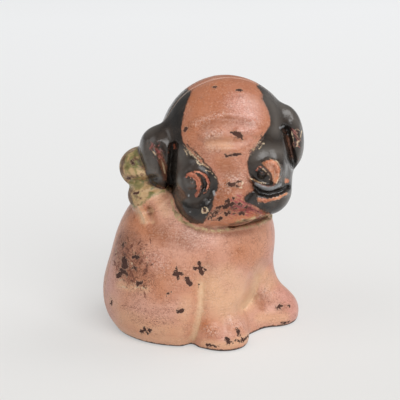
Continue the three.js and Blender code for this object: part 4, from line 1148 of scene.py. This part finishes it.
# Bare sand-cast iron inside: brown with thin rust in 9 mm patches, dull, with the sand's grain, 0.9 mm.
bare_iron, tree = new_material("bare_sand_cast_iron")
where = put(tree, "TexCoord", {}, "Object")
grain = put(tree, "TexNoise", {"Vector": where, "Scale": 1000 / 0.9, "Detail": 4.0, "Roughness": 0.7})
rust = put(tree, "TexNoise", {"Vector": where, "Scale": 1000 / 9, "Detail": 4.0, "Roughness": 0.6})
tone = put(tree, "MapRange", {"Value": rust, "From Min": 0.35, "From Max": 0.65})
brown = put(tree, "Mix", {0: tone, 6: linear("#3A2E2A"), 7: linear("#6A432F")}, 2, data_type="RGBA")
dull = put(tree, "MapRange", {"Value": grain, "To Min": 0.6, "To Max": 0.85})
pits = put(tree, "Bump", {"Height": grain, "Strength": 1.0, "Distance": 0.0003})
iron = put(tree, "BsdfPrincipled", {"Base Color": brown, "Roughness": dull, "Normal": pits})
put(tree, "OutputMaterial", {"Surface": iron})

for node, body, front in (("face_half_shell", "face", True), ("back_half_shell", "back", False)):
    casting = half_casting(node, front)
    casting.data.materials.append(enamel)
    casting.data.materials.append(bare_iron)
    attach(casting, body)
    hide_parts(node)

# The clamp screw: a round-head slotted screw of mild steel, turned from bar, with a thread cut on its end.
# It goes in from behind through the back half, and its thread draws the face half up against it.
SCREW_PLACE = (STANDING[0] + SCREW_AXIS[0], STANDING[2] + SCREW_AXIS[1])
# heights along Y, in the part's own frame; radii; the driver slot; the thread
HEAD_TOP, HEAD_RIM, HEAD_BASE, SHANK_MIDDLE, SCREW_TIP = 40.39, 37.84, 36.99, 20, -17.35
HEAD_RADIUS, SHANK_RADIUS, ROOT_RADIUS = 4.6, 2.4, 1.95
SLOT_HALF, SLOT_FLOOR = 0.65, 38.69
PITCH, THREAD_START = 1.0583, 3.0


def screw_skin():
    """The screw's points and triangles. Top of the head: x across the slot and t along it, with
    z = t sqrt(R^2 - x^2) and y on a dome, cut down to the slot's floor between its walls. Below, the ring of
    the rim is carried down a profile of radius over y, and the thread's ridge climbs one pitch a turn."""
    ball = (HEAD_RADIUS ** 2 + (HEAD_TOP - HEAD_RIM) ** 2) / (2 * (HEAD_TOP - HEAD_RIM))
    across = HEAD_RADIUS * np.sin(np.linspace(-np.pi / 2, np.pi / 2, 71))
    across = np.sort(np.concatenate([across, [-SLOT_HALF, -SLOT_HALF, SLOT_HALF, SLOT_HALF]]))
    order = np.arange(len(across))
    cut = (order > np.searchsorted(across, -SLOT_HALF)) & (order <= np.searchsorted(across, SLOT_HALF))
    x, share = np.meshgrid(across, np.linspace(-1, 1, 49), indexing="ij")
    z = share * np.sqrt(np.maximum(HEAD_RADIUS ** 2 - x ** 2, 0))
    y = HEAD_TOP - ball + np.sqrt(ball ** 2 - x ** 2 - z ** 2)
    y = np.where(cut[:, None], np.minimum(y, SLOT_FLOOR), y)
    top = np.stack([x, y, z], -1)
    rim = np.concatenate([top[:, 0], top[::-1, -1]])
    threaded = np.arange(THREAD_START, SCREW_TIP + 1.4, -PITCH / 10)
    profile = np.array(
        [(HEAD_RIM, HEAD_RADIUS), (HEAD_BASE + 0.2, HEAD_RADIUS), (HEAD_BASE, 4.4), (HEAD_BASE, 2.6)]
        + [(along, SHANK_RADIUS) for along in (HEAD_BASE - 0.2, SHANK_MIDDLE, *threaded)]
        + [(SCREW_TIP + 0.15, 1.3), (SCREW_TIP, 1.15), (SCREW_TIP, 0)]
    )
    turn = np.arctan2(rim[:, 2], rim[:, 0]) / (2 * np.pi)
    lead = np.abs(2 * ((turn + profile[:, :1] / PITCH) % 1) - 1)
    depth = (SHANK_RADIUS - ROOT_RADIUS) * np.clip((THREAD_START - profile[:, :1]) / PITCH, 0, 1)
    radius = profile[:, 1:] - depth * np.clip(1.25 - 1.5 * lead, 0, 1) * (profile[:, 1:] == SHANK_RADIUS)
    level = np.broadcast_to(profile[:, :1], radius.shape)
    rings = np.stack([rim[:, 0] / HEAD_RADIUS * radius, level, rim[:, 2] / HEAD_RADIUS * radius], -1)
    points, triangles = [], []
    for grid, closed in ((top, False), (rings, True)):
        number = np.arange(grid.shape[0] * grid.shape[1]).reshape(grid.shape[:2]) + sum(map(len, points))
        if closed:
            number = np.concatenate([number, number[:, :1]], 1)
        a, b, c, d = (n.ravel() for n in (number[:-1, :-1], number[1:, :-1], number[1:, 1:], number[:-1, 1:]))
        triangles += [np.stack(t, 1) for t in ((a, d, c), (a, c, b))]
        points.append(grid.reshape(-1, 3))
    points, triangles = np.concatenate(points), np.concatenate(triangles)
    points, merged = np.unique(np.round(points, 4), axis=0, return_inverse=True)
    return points + (SCREW_PLACE[0], 0, SCREW_PLACE[1]), open_triangles(merged.ravel()[triangles])


screw = smooth_object("clamp_screw_steel", *screw_skin())
screw.data.set_sharp_from_angle(angle=np.radians(35))

# Turned mild steel, old: grey metal with fine rings from the tool, dulled, with brown rust creeping over it.
steel, tree = new_material("turned_mild_steel")
where = put(tree, "TexCoord", {}, "Object")
to_axis = (-SCREW_PLACE[0] / 1000, 0, -SCREW_PLACE[1] / 1000)
centred = put(tree, "Mapping", {"Vector": where, "Location": to_axis})
# tool rings 0.25 mm apart, drawn as coarse as they need to show; rust patches of 2.5 mm
rings = put(
    tree, "TexWave", {"Vector": centred, "Scale": 2 * np.pi / 20 * 1000 / 0.25, "Distortion": 0.4}, "Fac",
    wave_type="RINGS", rings_direction="Y",
)
patches = put(tree, "TexNoise", {"Vector": where, "Scale": 1000 / 2.5, "Detail": 5.0, "Roughness": 0.7})
grime = put(tree, "TexNoise", {"Vector": where, "Scale": 1000 / 0.6, "Detail": 2.0})
rust = put(tree, "MapRange", {"Value": patches, "From Min": 0.48, "From Max": 0.6})
grey = put(tree, "Mix", {0: grime, 6: linear("#6E6963"), 7: linear("#98928A")}, 2, data_type="RGBA")
brown = put(tree, "Mix", {0: grime, 6: linear("#4A2C1C"), 7: linear("#7A4A2C")}, 2, data_type="RGBA")
tone = put(tree, "Mix", {0: rust, 6: grey, 7: brown}, 2, data_type="RGBA")
metal = put(tree, "MapRange", {"Value": rust, "To Min": 1.0, "To Max": 0.15})
dull = put(tree, "MapRange", {"Value": rust, "To Min": 0.34, "To Max": 0.8})
marks = put(tree, "Math", {0: rings, 1: 0.3, 2: grime}, operation="MULTIPLY_ADD")
marked = put(tree, "Bump", {"Height": marks, "Strength": 0.6, "Distance": 0.00005})
rusty_steel = put(
    tree, "BsdfPrincipled", {"Base Color": tone, "Metallic": metal, "Roughness": dull, "Normal": marked},
)
put(tree, "OutputMaterial", {"Surface": rusty_steel})
screw.data.materials.append(steel)
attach(screw, "screw")
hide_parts("clamp_screw")

# The studio: a pale floor, soft light from above and both sides, and a camera where the picture was taken.
floor_mesh = bpy.data.meshes.new("floor")
floor_mesh.from_pydata([(-6, -6, 0), (6, -6, 0), (6, 6, 0), (-6, 6, 0)], [], [(0, 1, 2, 3)])
floor = new_object(floor_mesh)
paper, tree = new_material("white_paper_sweep")
away = put(tree, "SeparateXYZ", {0: put(tree, "TexCoord", {}, "Object")}, "Y")
share = put(tree, "MapRange", {"Value": away, "From Min": -0.1, "From Max": 0.7})
tone = put(tree, "Mix", {0: share, 6: linear("#E4E3E1"), 7: linear("#F8F9FA")}, 2, data_type="RGBA")
ray = put(tree, "LightPath", {}).node.outputs
seen = ray["Is Camera Ray"]
for other in ("Is Glossy Ray", "Is Transmission Ray"):
    seen = put(tree, "Math", {0: seen, 1: ray[other]}, operation="MAXIMUM")
thrown = put(tree, "Mix", {0: seen, 6: linear("#F4F4F2"), 7: tone}, 2, data_type="RGBA")
matt = put(tree, "BsdfPrincipled", {"Base Color": thrown, "Roughness": 0.9})
glow = put(tree, "Emission", {"Color": tone})
glow_share = put(tree, "Math", {0: seen, 1: 0.5}, operation="MULTIPLY")
both = put(tree, "MixShader", {0: glow_share, 1: matt, 2: glow})
put(tree, "OutputMaterial", {"Surface": both})
floor_mesh.materials.append(paper)

world = bpy.data.worlds.new("studio")
bpy.context.scene.world = world
world.use_nodes = True
world.node_tree.nodes.clear()
sky = put(world.node_tree, "Background", {"Color": linear("#FFFFFF"), "Strength": 0.28})
put(world.node_tree, "OutputWorld", {"Surface": sky})


def stand(thing, right, up, back, place):
    """Puts an object at a place in metres, with its own three axes along the directions given."""
    rows = np.stack([right, up, back, place], 1).tolist()
    thing.matrix_world = Matrix(rows + [[0, 0, 0, 1]])


# soft boxes as (name, place and side in metres, power in watts), turned to the middle of the figure
FIGURE_MIDDLE = (0, 0, 0.06)
for name, place, size, power in (
    ("softbox_over_right", (1.25, 0.2, 1.85), 1.0, 13.0),
    ("softbox_over_left", (-1.25, -0.3, 1.75), 1.1, 6.0),
    ("softbox_front", (0.5, -1.8, 2.0), 2.0, 54.0),
):
    lamp = bpy.data.lights.new(name, "AREA")
    lamp.shape, lamp.size, lamp.energy = "SQUARE", size, power
    behind = np.array(place) - FIGURE_MIDDLE
    behind /= np.linalg.norm(behind)
    side = np.cross((0, 0, 1), behind)
    side /= np.linalg.norm(side)
    stand(new_object(lamp), side, np.cross(behind, side), behind, place)

lens = bpy.data.cameras.new("picture_camera")
lens.sensor_width = 36.0
lens.lens = lens.sensor_width * SIGHT_UNITS * SIGHT_DISTANCE / (2 * PICTURE_MIDDLE)
camera = new_object(lens)
eye = ((SIGHT_MIDDLE + SIGHT_BACK * SIGHT_DISTANCE) * FIGURE_SCALE + STANDING) / 1000
stand(camera, SIGHT_RIGHT, SIGHT_UP, SIGHT_BACK, eye)
bpy.context.scene.camera = camera
bpy.context.scene.view_settings.view_transform = "Standard"

bpy.context.view_layer.update()
